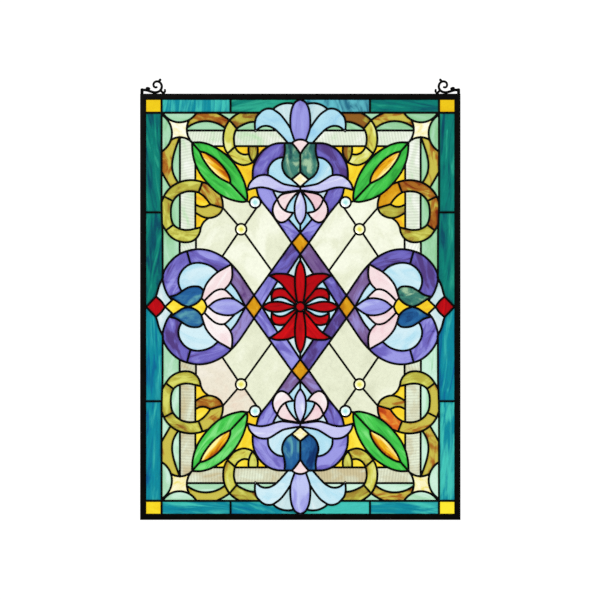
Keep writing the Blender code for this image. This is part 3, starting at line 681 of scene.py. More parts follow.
class Quarter(Enum):
    """A quarter of the panel, as the signs of X and Z there."""
    TOP_LEFT = (-1, 1)
    TOP_RIGHT = (1, 1)
    BOTTOM_LEFT = (-1, -1)
    BOTTOM_RIGHT = (1, -1)


QUARTERS = tuple(Quarter)
LEFT = (Quarter.TOP_LEFT, Quarter.BOTTOM_LEFT)
RIGHT = (Quarter.TOP_RIGHT, Quarter.BOTTOM_RIGHT)
TOP = (Quarter.TOP_LEFT, Quarter.TOP_RIGHT)
BOTTOM = (Quarter.BOTTOM_LEFT, Quarter.BOTTOM_RIGHT)


def linear(colour: str) -> tuple[float, float, float, float]:
    """An sRGB hex colour as linear values with full alpha."""
    parts = [int(colour[place:place + 2], 16) / 255 for place in (1, 3, 5)]
    return *(part / 12.92 if part <= 0.04045 else ((part + 0.055) / 1.055) ** 2.4 for part in parts), 1.0


def add_node(tree: bpy.types.NodeTree, kind: str, inputs: dict | None = None, **settings) -> bpy.types.Node:
    """Adds one node.

    Args:
        tree: the material's node tree.
        kind: the node's type name.
        inputs: its inputs, each a value or another node's output.
        settings: its own settings.

    Returns:
        The node.
    """
    node = tree.nodes.new(kind)
    for name, value in settings.items():
        setattr(node, name, value)
    for name, value in (inputs or {}).items():
        if isinstance(value, bpy.types.NodeSocket):
            tree.links.new(value, node.inputs[name])
        else:
            node.inputs[name].default_value = value
    return node


def new_material(name: str) -> tuple[bpy.types.Material, bpy.types.NodeTree, bpy.types.Node]:
    """Makes an empty material.

    Args:
        name: its name.

    Returns:
        The material, its node tree and its shader.
    """
    material = bpy.data.materials.new(name)
    material.use_nodes = True
    return material, material.node_tree, material.node_tree.nodes["Principled BSDF"]


@dataclass(frozen=True)
class SheetGlass:
    """Soda-lime art glass, rolled with wisps of colour that run along the sheet.

    What the eye gets is clear depth with soft streaks, and a rolled surface that catches the light.
    The relief's light and shade and the lead's shade at the glass's edge are painted into the colour.
    """
    dark: str
    middle: str
    light: str
    contrast: float = 0.5      # how far the wisps reach toward the dark and light colours
    across: float = 0.0        # how much lighter the outer edge is than the inner one
    wisp: Place = (60.0, 14.0)           # length and width of a wisp, in millimetres
    surface: Surface = Surface.SMOOTH
    relief_shade: float = 0.03           # how far the relief's painted light and shade lighten and darken the colour
    edge_shade: float = 0.8    # how much the lead's painted shade deepens the colour at the glass's edge
    edge_fall: float = 1.6     # how fast that shade falls off, as a power
    roughness: float = 0.05
    spread: float = 1.3        # half the range of the wisps at full contrast
    colour_ends: Place = (0.08, 0.92)    # where the dark and the light colour lie, from 0 to 1
    refraction: float = 1.52

    def material(self, name: str) -> bpy.types.Material:
        """The sheet's material.

        Args:
            name: the sheet's name.

        Returns:
            A material that reads the UV maps "sheet" (metres along and across the sheet) and "shape"
            (the place in the glass, from -1 to 1) and the attributes "tone" and "shade".
        """
        material, tree, shader = new_material(f"art_glass_{name}")
        sheet = add_node(tree, "ShaderNodeUVMap", uv_map="sheet").outputs["UV"]
        shape = add_node(tree, "ShaderNodeUVMap", uv_map="shape").outputs["UV"]
        outward = add_node(tree, "ShaderNodeSeparateXYZ", {"Vector": shape}).outputs["Y"]
        tone = add_node(tree, "ShaderNodeAttribute", attribute_name="tone").outputs["Fac"]
        wisps = add_node(tree, "ShaderNodeMapping", {
            "Vector": sheet, "Scale": (1000 / self.wisp[0], 1000 / self.wisp[1], 1.0)}).outputs["Vector"]
        cloud = add_node(tree, "ShaderNodeTexNoise", {
            "Vector": wisps, "Scale": 1.0, "Detail": 4.0, "Roughness": 0.55,
            "Distortion": 0.9}).outputs["Fac"]
        reach = self.spread * self.contrast
        total = 0.0
        for socket, factor, offset in ((cloud, 2 * reach, 0.5 - reach), (outward, self.across, 0.0),
                                       (tone, 1.0, 0.0)):
            scaled = add_node(tree, "ShaderNodeMath", {0: socket, 1: factor, 2: offset},
                              operation="MULTIPLY_ADD").outputs[0]
            total = add_node(tree, "ShaderNodeMath", {0: scaled, 1: total}, operation="ADD").outputs[0]
        ramp = add_node(tree, "ShaderNodeValToRGB", {"Fac": total})
        ramp.color_ramp.interpolation = "EASE"
        for element, position, colour in zip(ramp.color_ramp.elements, self.colour_ends,
                                             (self.dark, self.light)):
            element.position, element.color = position, linear(colour)
        ramp.color_ramp.elements.new(0.5).color = linear(self.middle)
        relief, depth = self.relief(tree, sheet), self.surface.value[2]
        # painted light and shade of the relief: lighter on its low parts, darker on its high ones
        relief_light_and_shade = add_node(tree, "ShaderNodeMath", {
            0: relief, 1: -2 * self.relief_shade, 2: 1 + self.relief_shade},
            operation="MULTIPLY_ADD").outputs[0]
        rolled = add_node(tree, "ShaderNodeMix", {"Factor": 1.0, 6: ramp.outputs["Color"], 7: relief_light_and_shade},
                          data_type="RGBA", blend_type="MULTIPLY", clamp_result=True).outputs[2]
        # painted shade of the lead: toward the glass's edge the colour is mixed toward its own square, which
        # is darker
        lead_shaded_colour = add_node(tree, "ShaderNodeMix", {"Factor": 1.0, 6: rolled, 7: rolled},
                        data_type="RGBA", blend_type="MULTIPLY").outputs[2]
        near = add_node(tree, "ShaderNodeAttribute", attribute_name="shade").outputs["Fac"]
        fallen = add_node(tree, "ShaderNodeMath", {0: near, 1: self.edge_fall}, operation="POWER").outputs[0]
        shade = add_node(tree, "ShaderNodeMath", {0: fallen, 1: self.edge_shade},
                         operation="MULTIPLY").outputs[0]
        colour = add_node(tree, "ShaderNodeMix", {"Factor": shade, 6: rolled, 7: lead_shaded_colour},
                          data_type="RGBA").outputs[2]
        bump = add_node(tree, "ShaderNodeBump", {"Height": relief, "Distance": depth * MM, "Strength": 1.0})
        tree.links.new(colour, shader.inputs["Base Color"])
        tree.links.new(bump.outputs["Normal"], shader.inputs["Normal"])
        shader.inputs["Roughness"].default_value = self.roughness
        shader.inputs["IOR"].default_value = self.refraction
        shader.inputs["Transmission Weight"].default_value = 1.0
        material.diffuse_color = linear(self.middle)
        return material

    def relief(self, tree: bpy.types.NodeTree, sheet: bpy.types.NodeSocket) -> bpy.types.NodeSocket:
        """The height of the rolled surface, from 0 to 1.

        Args:
            tree: the material's node tree.
            sheet: the place on the sheet in metres.

        Returns:
            The height's socket.
        """
        length, width, _ = self.surface.value
        rolled = add_node(tree, "ShaderNodeMapping", {
            "Vector": sheet, "Scale": (1000 / length, 1000 / width, 1.0)}).outputs["Vector"]
        if self.surface is Surface.HAMMERED:
            return add_node(tree, "ShaderNodeTexVoronoi", {
                "Vector": rolled, "Scale": 1.0, "Smoothness": 0.6}, feature="SMOOTH_F1").outputs["Distance"]
        if self.surface is Surface.RIPPLED:
            return add_node(tree, "ShaderNodeTexWave", {
                "Vector": rolled, "Scale": 1 / math.pi, "Distortion": 2.6, "Detail": 2.0,
                "Detail Scale": 0.7}, wave_type="BANDS", bands_direction="X").outputs["Fac"]
        return add_node(tree, "ShaderNodeTexNoise", {
            "Vector": rolled, "Scale": 1.0, "Detail": 3.0}).outputs["Fac"]


class Glass(Enum):
    """The sheets of glass that the panel is cut from."""
    CORNER_YELLOW = SheetGlass("#E6BC12", "#F0CE18", "#FCE830", 0.35)
    TEAL_STREAKY = SheetGlass("#044A60", "#067C70", "#2CA88C", 0.75, wisp=(70, 10), surface=Surface.WATER,
                              relief_shade=0.16)
    BLUE_STREAKY = SheetGlass("#045890", "#08889A", "#40C0B4", 0.7, wisp=(70, 10), surface=Surface.WATER,
                              relief_shade=0.16)
    SKY_STREAKY = SheetGlass("#1A6280", "#60BAC6", "#B8EAE6", 0.8, wisp=(34, 26), surface=Surface.WATER,
                             relief_shade=0.10)
    PALE_GREEN = SheetGlass("#8CC892", "#A8DAB4", "#CCEEDA", 0.6, roughness=0.12, edge_shade=0.5)
    CREAM = SheetGlass("#F0E07A", "#F8F0BC", "#FEFCE8", 0.8, wisp=(14, 7), roughness=0.12, edge_shade=0.2)
    OLIVE_AMBER = SheetGlass("#8E5C20", "#B6B042", "#D6D868", 0.95, across=0.06, wisp=(34, 12),
                             roughness=0.08)
    GOLDEN_AMBER = SheetGlass("#AA8A2C", "#D2D058", "#EAEC9C", 0.9, across=0.06, wisp=(34, 12),
                              roughness=0.08)
    BROWN_AMBER = SheetGlass("#802C0C", "#A86820", "#C8BC4C", 0.95, across=-0.1, wisp=(30, 11),
                             roughness=0.08)
    FLAME = SheetGlass("#B03410", "#DC6C22", "#F0B444", 0.8, wisp=(24, 9), roughness=0.08)
    YELLOW = SheetGlass("#ECAE24", "#F5D228", "#FAE84A", 0.6, wisp=(26, 14), edge_shade=0.3)
    RIPPLED_CLEAR = SheetGlass("#BCE0B4", "#DCE6D2", "#F0F4EA", 0.7, wisp=(40, 22), surface=Surface.RIPPLED,
                               relief_shade=0.08, edge_shade=0.3)
    RIPPLED_TAN = SheetGlass("#C8BC94", "#D0D0B2", "#DEE6CE", 0.8, wisp=(30, 18), surface=Surface.RIPPLED,
                             relief_shade=0.09, edge_shade=0.3)
    LEAF_GREEN = SheetGlass("#2C9A38", "#44C64C", "#80E280", 0.65, wisp=(46, 9), roughness=0.08)
    LENS_ORANGE = SheetGlass("#B85C06", "#EEB418", "#FFF49C", 0.8, across=-0.7, wisp=(45, 7),
                             roughness=0.08, edge_shade=0.3)
    HAMMERED_CLEAR = SheetGlass("#DADEC2", "#E6EACF", "#F4F7E3", 0.6, wisp=(45, 30),
                                surface=Surface.HAMMERED, relief_shade=0.05, edge_shade=0.3)
    HAMMERED_ROSE = SheetGlass("#E6D4C0", "#EAE3D0", "#F2ECE0", 0.6, wisp=(45, 30),
                               surface=Surface.HAMMERED, relief_shade=0.05, edge_shade=0.3)
    JEWEL_CREAM = SheetGlass("#E4DE5A", "#F8F6B4", "#FFFFF6", 0.1, across=0.6, surface=Surface.PRESSED,
                             edge_shade=0.2)
    JEWEL_AQUA = SheetGlass("#A8E4E2", "#DDFAF6", "#FFFFFF", 0.1, across=0.6, surface=Surface.PRESSED,
                            edge_shade=0.2)
    VIOLET = SheetGlass("#523C80", "#6F66BE", "#9A98E2", 0.9, wisp=(44, 12), roughness=0.08)
    PERIWINKLE = SheetGlass("#7E78C4", "#9A9AE2", "#BEC4F2", 0.7, wisp=(60, 14), roughness=0.12,
                            edge_shade=0.6)
    LAVENDER = SheetGlass("#AEAAE4", "#C6C6F0", "#E8ECFA", 0.7, wisp=(50, 14), roughness=0.15,
                          edge_shade=0.5)
    MAUVE = SheetGlass("#62427E", "#7C6296", "#968ACC", 0.85, wisp=(34, 12), roughness=0.08)
    LIGHT_BLUE = SheetGlass("#90C8E8", "#B0DEEE", "#D2ECF4", 0.6, wisp=(60, 25), roughness=0.15,
                            edge_shade=0.4)
    WHITE = SheetGlass("#B4D4DC", "#C8E2E6", "#E4F0F2", 0.7, roughness=0.15, edge_shade=0.4)
    PINK = SheetGlass("#EEC8D0", "#F4DEE0", "#FAF2F2", 0.7, wisp=(40, 16), roughness=0.15, edge_shade=0.3)
    GREEN_TEAL = SheetGlass("#1E4A50", "#3C7E70", "#A0C4A0", 0.95, wisp=(26, 18), roughness=0.08)
    BLUE_TEAL = SheetGlass("#0C2F66", "#22609A", "#5CA2AE", 0.8, wisp=(36, 16), roughness=0.08)
    GREY_BLUE = SheetGlass("#A9C4D2", "#C8DDE6", "#E2F2F8", 0.5, roughness=0.12)
    RUBY = SheetGlass("#7C000A", "#B4020E", "#D60A12", 0.6, wisp=(40, 9))
    HONEY = SheetGlass("#B66E0A", "#D69812", "#E8B228", 0.7, wisp=(26, 12))

    @property
    def label(self) -> str:
        """The sheet's name in the names of pieces and materials."""
        return self.name.lower()


@dataclass(frozen=True)
class Order:
    """Glasses of one motif that are cut from one sheet.

    The tones make the sheet lighter or darker in the top left, top right, bottom left and bottom
    right quarter.
    """
    glass: Glass
    spots: tuple[Place, ...]
    tones: tuple[float, float, float, float] = (0.0, 0.0, 0.0, 0.0)
    quarters: tuple[Quarter, ...] = QUARTERS
    upright: bool = False   # whether the sheet's streaks stand upright, whatever the glass's shape


@dataclass(frozen=True)
class Motif:
    """A part of the pattern, whose name is the beginning of its CAD nodes' names."""
    name: str
    slot: str               # the name of a material slot
    orders: tuple[Order, ...]


MOTIFS = (
    Motif("corner_square", "yellow_glass", (
        Order(Glass.CORNER_YELLOW, ((209, 288),), (-0.05, -0.25, 0.25, 0.4)),
    )),
    Motif("border_end_glass", "teal_glass", (
        Order(Glass.TEAL_STREAKY, ((142, 289),), (0, -0.15, 0, 0), (Quarter.TOP_RIGHT,)),
        Order(Glass.BLUE_STREAKY, ((142, 289),), (0.15, 0, 0, 0), (Quarter.TOP_LEFT,), upright=True),
        Order(Glass.BLUE_STREAKY, ((142, 289),), (0, 0, 0.1, 0.15), BOTTOM),
    )),
    Motif("border_middle_glass", "teal_glass", (
        Order(Glass.TEAL_STREAKY, ((69, 289),), (0.3, 0, 0, 0), (Quarter.TOP_LEFT,)),
        Order(Glass.SKY_STREAKY, ((69, 289),), (0, -0.05, 0, 0), (Quarter.TOP_RIGHT,), upright=True),
        Order(Glass.BLUE_STREAKY, ((69, 289),), (0, 0, 0.05, 0.6), BOTTOM),
    )),
    Motif("side_border_end_glass", "teal_glass", (
        Order(Glass.TEAL_STREAKY, ((213, 197),), (-0.05, 0, 0, 0), TOP),
        Order(Glass.BLUE_STREAKY, ((213, 197),), (0, 0, 0, 0.2), BOTTOM),
    )),
    Motif("side_border_middle_glass", "teal_glass", (
        Order(Glass.TEAL_STREAKY, ((211, 93),), (-0.1, -0.05, 0, 0), TOP),
        Order(Glass.BLUE_STREAKY, ((211, 93),), (0, 0, 0.05, -0.1), BOTTOM),
    )),
    Motif("strapwork", "amber_glass", (
        Order(Glass.CREAM, ((172, 253),), (0.2, 0, -0.05, -0.1)),
        Order(Glass.PALE_GREEN, ((169, 271), (191, 244), (102, 272), (131, 258), (177, 205), (196, 170),
                                 (178, 139), (184, 83), (78, 257), (47, 254.5)), (-0.05, -0.2, 0.1, 0.3)),
        Order(Glass.OLIVE_AMBER, ((84, 268),), (-0.1, -0.5, -0.2, 0)),
        Order(Glass.OLIVE_AMBER, ((168, 101),), (0.25, 0, 0.1, 0.15)),
        Order(Glass.OLIVE_AMBER, ((67, 223),), (0, -0.35, 0.4, 0.4)),
        Order(Glass.OLIVE_AMBER, ((162, 172), (190, 140)), (0.15, 0, 0.05, 0), LEFT),
        Order(Glass.BROWN_AMBER, ((162, 172), (190, 140)), (0, -0.1, 0, 0.35), RIGHT),
        Order(Glass.BROWN_AMBER, ((141, 270),), (0.05, 0.25, 0.7, 0.3)),
        Order(Glass.BROWN_AMBER, ((189, 180),), (0.25, 0.25, 0.4, 0.2)),
        Order(Glass.GOLDEN_AMBER, ((100, 253),), (0.05, 0.15, -0.1, 0.1)),
        Order(Glass.GOLDEN_AMBER, ((84, 210),), (0, 0.35, -0.05, -0.15)),
        Order(Glass.BROWN_AMBER, ((128, 158),), (0.15, 0, 0.4, 0), LEFT),
        Order(Glass.HONEY, ((128, 158),), (0, 0.2, 0, 0), (Quarter.TOP_RIGHT,)),
        Order(Glass.FLAME, ((128, 158),), quarters=(Quarter.BOTTOM_RIGHT,)),
        Order(Glass.BROWN_AMBER, ((128, 136),), (0.5, 0, 0.05, 0.3), (*LEFT, Quarter.BOTTOM_RIGHT)),
        Order(Glass.OLIVE_AMBER, ((128, 136),), quarters=(Quarter.TOP_RIGHT,)),
        Order(Glass.YELLOW, ((113, 226), (80, 223), (56.5, 224), (74, 192), (141, 184), (142, 151),
                             (144, 122)), (-0.05, 0, 0.2, 0.15)),
        Order(Glass.RIPPLED_CLEAR, ((131, 240), (53, 239), (161, 198), (161, 127), (160, 86)),
              (0, 0.15, 0, 0), TOP),
        Order(Glass.RIPPLED_TAN, ((53, 239),), (0, 0, 0, -0.3), BOTTOM),
        Order(Glass.RIPPLED_TAN, ((131, 240), (161, 198), (161, 127), (160, 86)), (0, 0, 0, 0.2), BOTTOM),
    )),
    Motif("leaf", "green_glass", (
        Order(Glass.LEAF_GREEN, ((90, 179), (106, 167)), (-0.1, -0.1, 0.15, 0)),
        Order(Glass.LENS_ORANGE, ((120, 199),), (-0.05, 0.1, 0.05, 0)),
        Order(Glass.YELLOW, ((69, 162),), (-0.1, -0.1, -0.1, -0.2)),
    )),
    Motif("inner_pane", "clear_glass", (
        Order(Glass.HAMMERED_CLEAR, ((47, 100),), (0.1, 0.25, 0, -0.1)),
    )),
    Motif("upper_pane", "clear_glass", (
        Order(Glass.HAMMERED_CLEAR, ((85, 134),), (0.05, 0.1, 0, -0.05), (*TOP, Quarter.BOTTOM_RIGHT)),
        Order(Glass.HAMMERED_ROSE, ((85, 134),), (0, 0, -0.15, 0), (Quarter.BOTTOM_LEFT,)),
    )),
    Motif("outer_pane", "clear_glass", (
        Order(Glass.HAMMERED_CLEAR, ((119, 104),), (0.2, 0.3, 0, 0), (*TOP, Quarter.BOTTOM_RIGHT)),
        Order(Glass.HAMMERED_ROSE, ((119, 104),), (0, 0, 0.05, 0), (Quarter.BOTTOM_LEFT,)),
    )),
    Motif("lower_pane", "clear_glass", (
        Order(Glass.HAMMERED_CLEAR, ((84, 75),), (0.15, 0.3, 0, 0)),
    )),
    Motif("lotus", "purple_glass", (
        Order(Glass.PERIWINKLE, ((0, 264),), (-0.05, -0.05, 0.1, 0.1)),
        Order(Glass.WHITE, ((20, 283),), (0.05, -0.15, 0, 0)),
        Order(Glass.LIGHT_BLUE, ((45, 270), (36, 194), (14, 141), (6, 120)), (-0.05, -0.05, 0.25, 0.1)),
        Order(Glass.PINK, ((23, 153),), (0, -0.5, 0, -0.3)),
        Order(Glass.PINK, ((0, 231), (28, 130)), (0.15, 0, 0.3, 0)),
        Order(Glass.GREEN_TEAL, ((13, 203),), (0, 0.1, 0, 0), TOP),
        Order(Glass.BLUE_TEAL, ((13, 203),), (0, 0, -0.1, -0.1), BOTTOM),
        Order(Glass.CREAM, ((0, 182),), (0.2, 0.2, 0, 0)),
        Order(Glass.VIOLET, ((56, 199),), (-0.25, -0.25, 0.25, 0.35)),
        Order(Glass.VIOLET, ((46, 156),), (0.3, -0.05, 0.35, -0.05)),
        Order(Glass.VIOLET, ((12, 106),), (0.25, 0.25, 0, 0), TOP),
        Order(Glass.MAUVE, ((12, 106),), (0, 0, 0.2, 0.2), BOTTOM),
        Order(Glass.LAVENDER, ((48, 179), (0, 140))),
        Order(Glass.GREY_BLUE, ((32, 161),)),
    )),
    Motif("side_lotus", "blue_glass", (
        Order(Glass.MAUVE, ((91, 34),), (0, 0.1, 0.5, 0.1)),
        Order(Glass.LIGHT_BLUE, ((99, 23), (146, 46)), (0.2, 0.2, 0.25, 0.25)),
        Order(Glass.VIOLET, ((120, 65),), (0.15, -0.3, 0, 0.3)),
        Order(Glass.VIOLET, ((180, 55),), (0.05, -0.25, -0.15, 0.25)),
        Order(Glass.PINK, ((113, 38), (113, 18)), (0.15, 0.1, 0.3, -0.2)),
        Order(Glass.PERIWINKLE, ((104, 0),), (0.15, 0.15, 0.15, 0.15)),
        Order(Glass.YELLOW, ((142, 0), (181, 0)), (0.15, 0.1, 0.15, 0.1)),
        Order(Glass.BLUE_TEAL, ((156, 15),), (0, 0, -0.1, 0.1), (*LEFT, Quarter.BOTTOM_RIGHT)),
        Order(Glass.GREEN_TEAL, ((156, 15),), quarters=(Quarter.TOP_RIGHT,)),
        Order(Glass.WHITE, ((197, 17),), (0.1, 0.05, 0.1, 0.1)),
        Order(Glass.RUBY, ((206, 0),)),
    )),
    Motif("medallion", "red_glass", (
        Order(Glass.HONEY, ((0, 91), (66, 0))),
        Order(Glass.VIOLET, ((20, 63),), (-0.05, 0, 0.3, -0.2), (*BOTTOM, Quarter.TOP_LEFT)),
        Order(Glass.MAUVE, ((20, 63),), (0, -0.1, 0, 0), (Quarter.TOP_RIGHT,)),
        Order(Glass.VIOLET, ((48, 28),), (0.25, -0.1, 0.2, -0.45)),
        Order(Glass.WHITE, ((12, 52),)),
        Order(Glass.RUBY, ((0, 35), (18, 36), (30, 20), (34, 0), (0, 0)), (0, 0, 0.2, 0.2)),
        Order(Glass.LIGHT_BLUE, ((33, 32), (30, 10), (46, 9)), (0.1, 0.1, 0.1, 0.1)),
    )),
)

@dataclass
class Tile:
    """One cut glass: its edge, the clear part inside the lead's shade, and how it was cut from its sheet."""
    ring: Run
    heart: Run
    tone: float
    turn: float

    def shape_axes(self) -> tuple[Vector, Vector, Vector]:
        """The directions that the glass's shape gives.

        Returns:
            Its middle, its long direction and its wide one. The last two point outward.
        """
        middle = centre_of(self.ring)
        spread = [0.0, 0.0, 0.0]
        for a, b in sides_of(self.ring):
            offset, weight = (a + b) / 2 - middle, (b - a).length
            spread[0] += weight * offset.x * offset.x
            spread[1] += weight * offset.x * offset.y
            spread[2] += weight * offset.y * offset.y
        angle = math.atan2(2 * spread[1], spread[0] - spread[2]) / 2
        along = Vector((math.cos(angle), math.sin(angle)))
        across = along.orthogonal()
        return (middle, *(axis if axis.dot(middle) >= 0 else -axis for axis in (along, across)))


def dress(piece: bpy.types.Object, nodes: list[str]) -> None:
    """Hands a finished piece to the frame.

    Args:
        piece: the piece, in place.
        nodes: the CAD nodes that it stands for.
    """
    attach(piece, "root")
    if nodes:
        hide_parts(*nodes)
    LOG.info("%s: %d faces, stands for %s", piece.name, len(piece.data.polygons),
             ", ".join(nodes) or "no node")


def nodes_of(motif: str) -> list[str]:
    """The CAD nodes of a motif."""
    return sorted(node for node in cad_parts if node.startswith(f"{motif}_"))


def linked(name: str, mesh: bmesh.types.BMesh, material: bpy.types.Material) -> bpy.types.Object:
    """Puts a finished bmesh into the scene.

    Args:
        name: the piece's name.
        mesh: its faces, in place. The bmesh is freed.
        material: its finish.

    Returns:
        The piece.
    """
    data = bpy.data.meshes.new(name)
    mesh.to_mesh(data)
    mesh.free()
    data.materials.append(material)
    piece = bpy.data.objects.new(name, data)
    bpy.context.scene.collection.objects.link(piece)
    return piece


def chosen(piece: bpy.types.Object) -> None:
    """Makes a piece the only selected and active object.

    Args:
        piece: the piece.
    """
    bpy.ops.object.select_all(action="DESELECT")
    piece.select_set(True)
    bpy.context.view_layer.objects.active = piece


def fixed() -> bpy.types.Object:
    """Moves the new piece's place, turn and size into its mesh.

    Returns:
        The piece.
    """
    bpy.ops.object.transform_apply(location=True, rotation=True, scale=True)
    return bpy.context.object


def opened() -> None:
    """Opens the active piece in edit mode with all of it selected."""
    bpy.ops.object.mode_set(mode="EDIT")
    bpy.ops.mesh.select_all(action="SELECT")


def closed(smooth_angle: float) -> None:
    """Turns the open piece's faces outward, leaves edit mode and smooths the piece.

    Args:
        smooth_angle: the largest angle, in degrees, that is smoothed over.
    """
    bpy.ops.mesh.select_all(action="SELECT")
    bpy.ops.mesh.normals_make_consistent(inside=False)
    bpy.ops.object.mode_set(mode="OBJECT")
    bpy.ops.object.shade_smooth_by_angle(angle=math.radians(smooth_angle))


@dataclass
class Glazing:
    """All the glasses, cut from their sheets and grouped by motif and sheet."""
    cutting: Cutting
    glass_inset: float = 0.5      # from the lead line's centre to the glass's edge, under the bead
    shade_reach: tuple[float, ...] = (4.2, 3.2, 2.4, 1.9)   # widths of the lead's shade, as there is room
    smallest_heart: float = 2.0   # what the shade leaves free at least, in square millimetres
    tone_drift: float = 0.06      # how far a glass's tone strays from its order's
    turn_drift: float = 0.15      # how far a glass is turned on its sheet, in radians
    sheet_span: float = 9.0       # where on a sheet a glass can start, in metres
    materials: dict[Glass, bpy.types.Material] = field(default_factory=dict)

    def material(self, glass: Glass) -> bpy.types.Material:
        """Makes a sheet's material once.

        Args:
            glass: the sheet.

        Returns:
            Its material.
        """
        if glass not in self.materials:
            self.materials[glass] = glass.value.material(glass.label)
        return self.materials[glass]

    def heart(self, outline: Outline) -> Run:
        """The part of a glass that the lead throws no shade on, as far in as the glass has room.

        Args:
            outline: the glass's outline.

        Returns:
            Its edge, or no points where the glass is too narrow.
        """
        for reach in self.shade_reach:
            inner = outline.moved_in(reach)
            if inner and area_of(inner) > self.smallest_heart:
                return inner
        return []

    def tiles(self, order: Order, chance: random.Random) -> list[Tile]:
        """The order's glasses, in each quarter that it names.

        Args:
            order: what is cut.
            chance: the seeded chance that turns each glass a little on its sheet.

        Returns:
            The glasses, with a glass on a middle line taken once.
        """
        cut = []
        for spot in order.spots:
            outline = self.cutting.glass_at(spot)
            ring, heart = outline.moved_in(self.glass_inset), self.heart(outline)
            middle = centre_of(ring)
            for quarter in order.quarters:
                x, z = quarter.value
                if repeats(middle, x, z):
                    continue
                copies = [[Vector((x * point.x, z * point.y)) for point in run][::x * z]
                          for run in (ring, heart)]
                drift = chance.uniform(-self.tone_drift, self.tone_drift)
                turn = chance.uniform(-self.turn_drift, self.turn_drift)
                cut.append(Tile(*copies, order.tones[QUARTERS.index(quarter)] + drift, turn))
        return cut

    def slab(self, tile: Tile) -> tuple[list, list, list]:
        """One glass as a slab, in millimetres.

        Args:
            tile: the glass.

        Returns:
            Its corners (across, back, up), how far each is in the lead's shade, and its faces.
        """
        loops = [list(range(len(tile.ring)))]
        if tile.heart:
            loops.append(list(range(len(tile.ring), len(tile.ring) + len(tile.heart))))
        points = tile.ring + tile.heart
        spots, _, faces, origins, _, sources = delaunay_2d_cdt(points, [], loops, 1, TOUCHING)
        half, count = SIZES.glass / 2, len(spots)
        faces = [tuple(face) for face, source in zip(faces, sources) if source]
        corners = [(spot.x, y, spot.y) for y in (-half, half) for spot in spots]
        shade = [1.0 if not origin or origin[0] < len(tile.ring) else 0.0 for origin in origins] * 2
        sides = {side for face in faces for side in sides_of(face)}
        walls = [(a, b, b + count, a + count)[::-1] for a, b in sides if (b, a) not in sides]
        backs = [tuple(corner + count for corner in face[::-1]) for face in faces]
        return corners, shade, faces + backs + walls

    def piece(self, motif: Motif, order: Order) -> bpy.types.Object:
        """Cuts one order's glasses as slabs with UV maps that follow their sheet and their shape.

        Args:
            motif: the motif that the glasses belong to.
            order: what is cut.

        Returns:
            The glasses as one piece.
        """
        name = f"{motif.name}_{order.glass.label}"
        chance = random.Random(name)
        mesh = bmesh.new()
        sheet, shape = mesh.loops.layers.uv.new("sheet"), mesh.loops.layers.uv.new("shape")
        tone, shaded = mesh.verts.layers.float.new("tone"), mesh.verts.layers.float.new("shade")
        for tile in self.tiles(order, chance):
            middle, along, across = tile.shape_axes()
            length = max(abs((point - middle).dot(along)) for point in tile.ring)
            width = max(abs((point - middle).dot(across)) for point in tile.ring)
            grain = Matrix.Rotation(tile.turn, 2) @ (Vector((0, 1)) if order.upright else along)
            start = Vector((chance.uniform(0, self.sheet_span), chance.uniform(0, self.sheet_span)))
            corners, shade, faces = self.slab(tile)
            verts = [mesh.verts.new((x * MM, y * MM, (z - SIZES.hook_height) * MM)) for x, y, z in corners]
            for vert, depth in zip(verts, shade):
                vert[tone], vert[shaded] = tile.tone, depth
            for face in faces:
                for loop, corner in zip(mesh.faces.new([verts[corner] for corner in face]).loops, face):
                    spot = Vector((corners[corner][0], corners[corner][2]))
                    loop[sheet].uv = start + Vector((spot.dot(grain), spot.cross(-grain))) * MM
                    offset = spot - middle
                    loop[shape].uv = (offset.dot(along) / length, offset.dot(across) / width)
        return linked(name, mesh, self.material(order.glass))

    def build(self) -> None:
        """Cuts every order."""
        for motif in MOTIFS:
            for order in motif.orders:
                dress(self.piece(motif, order), nodes_of(motif.name))


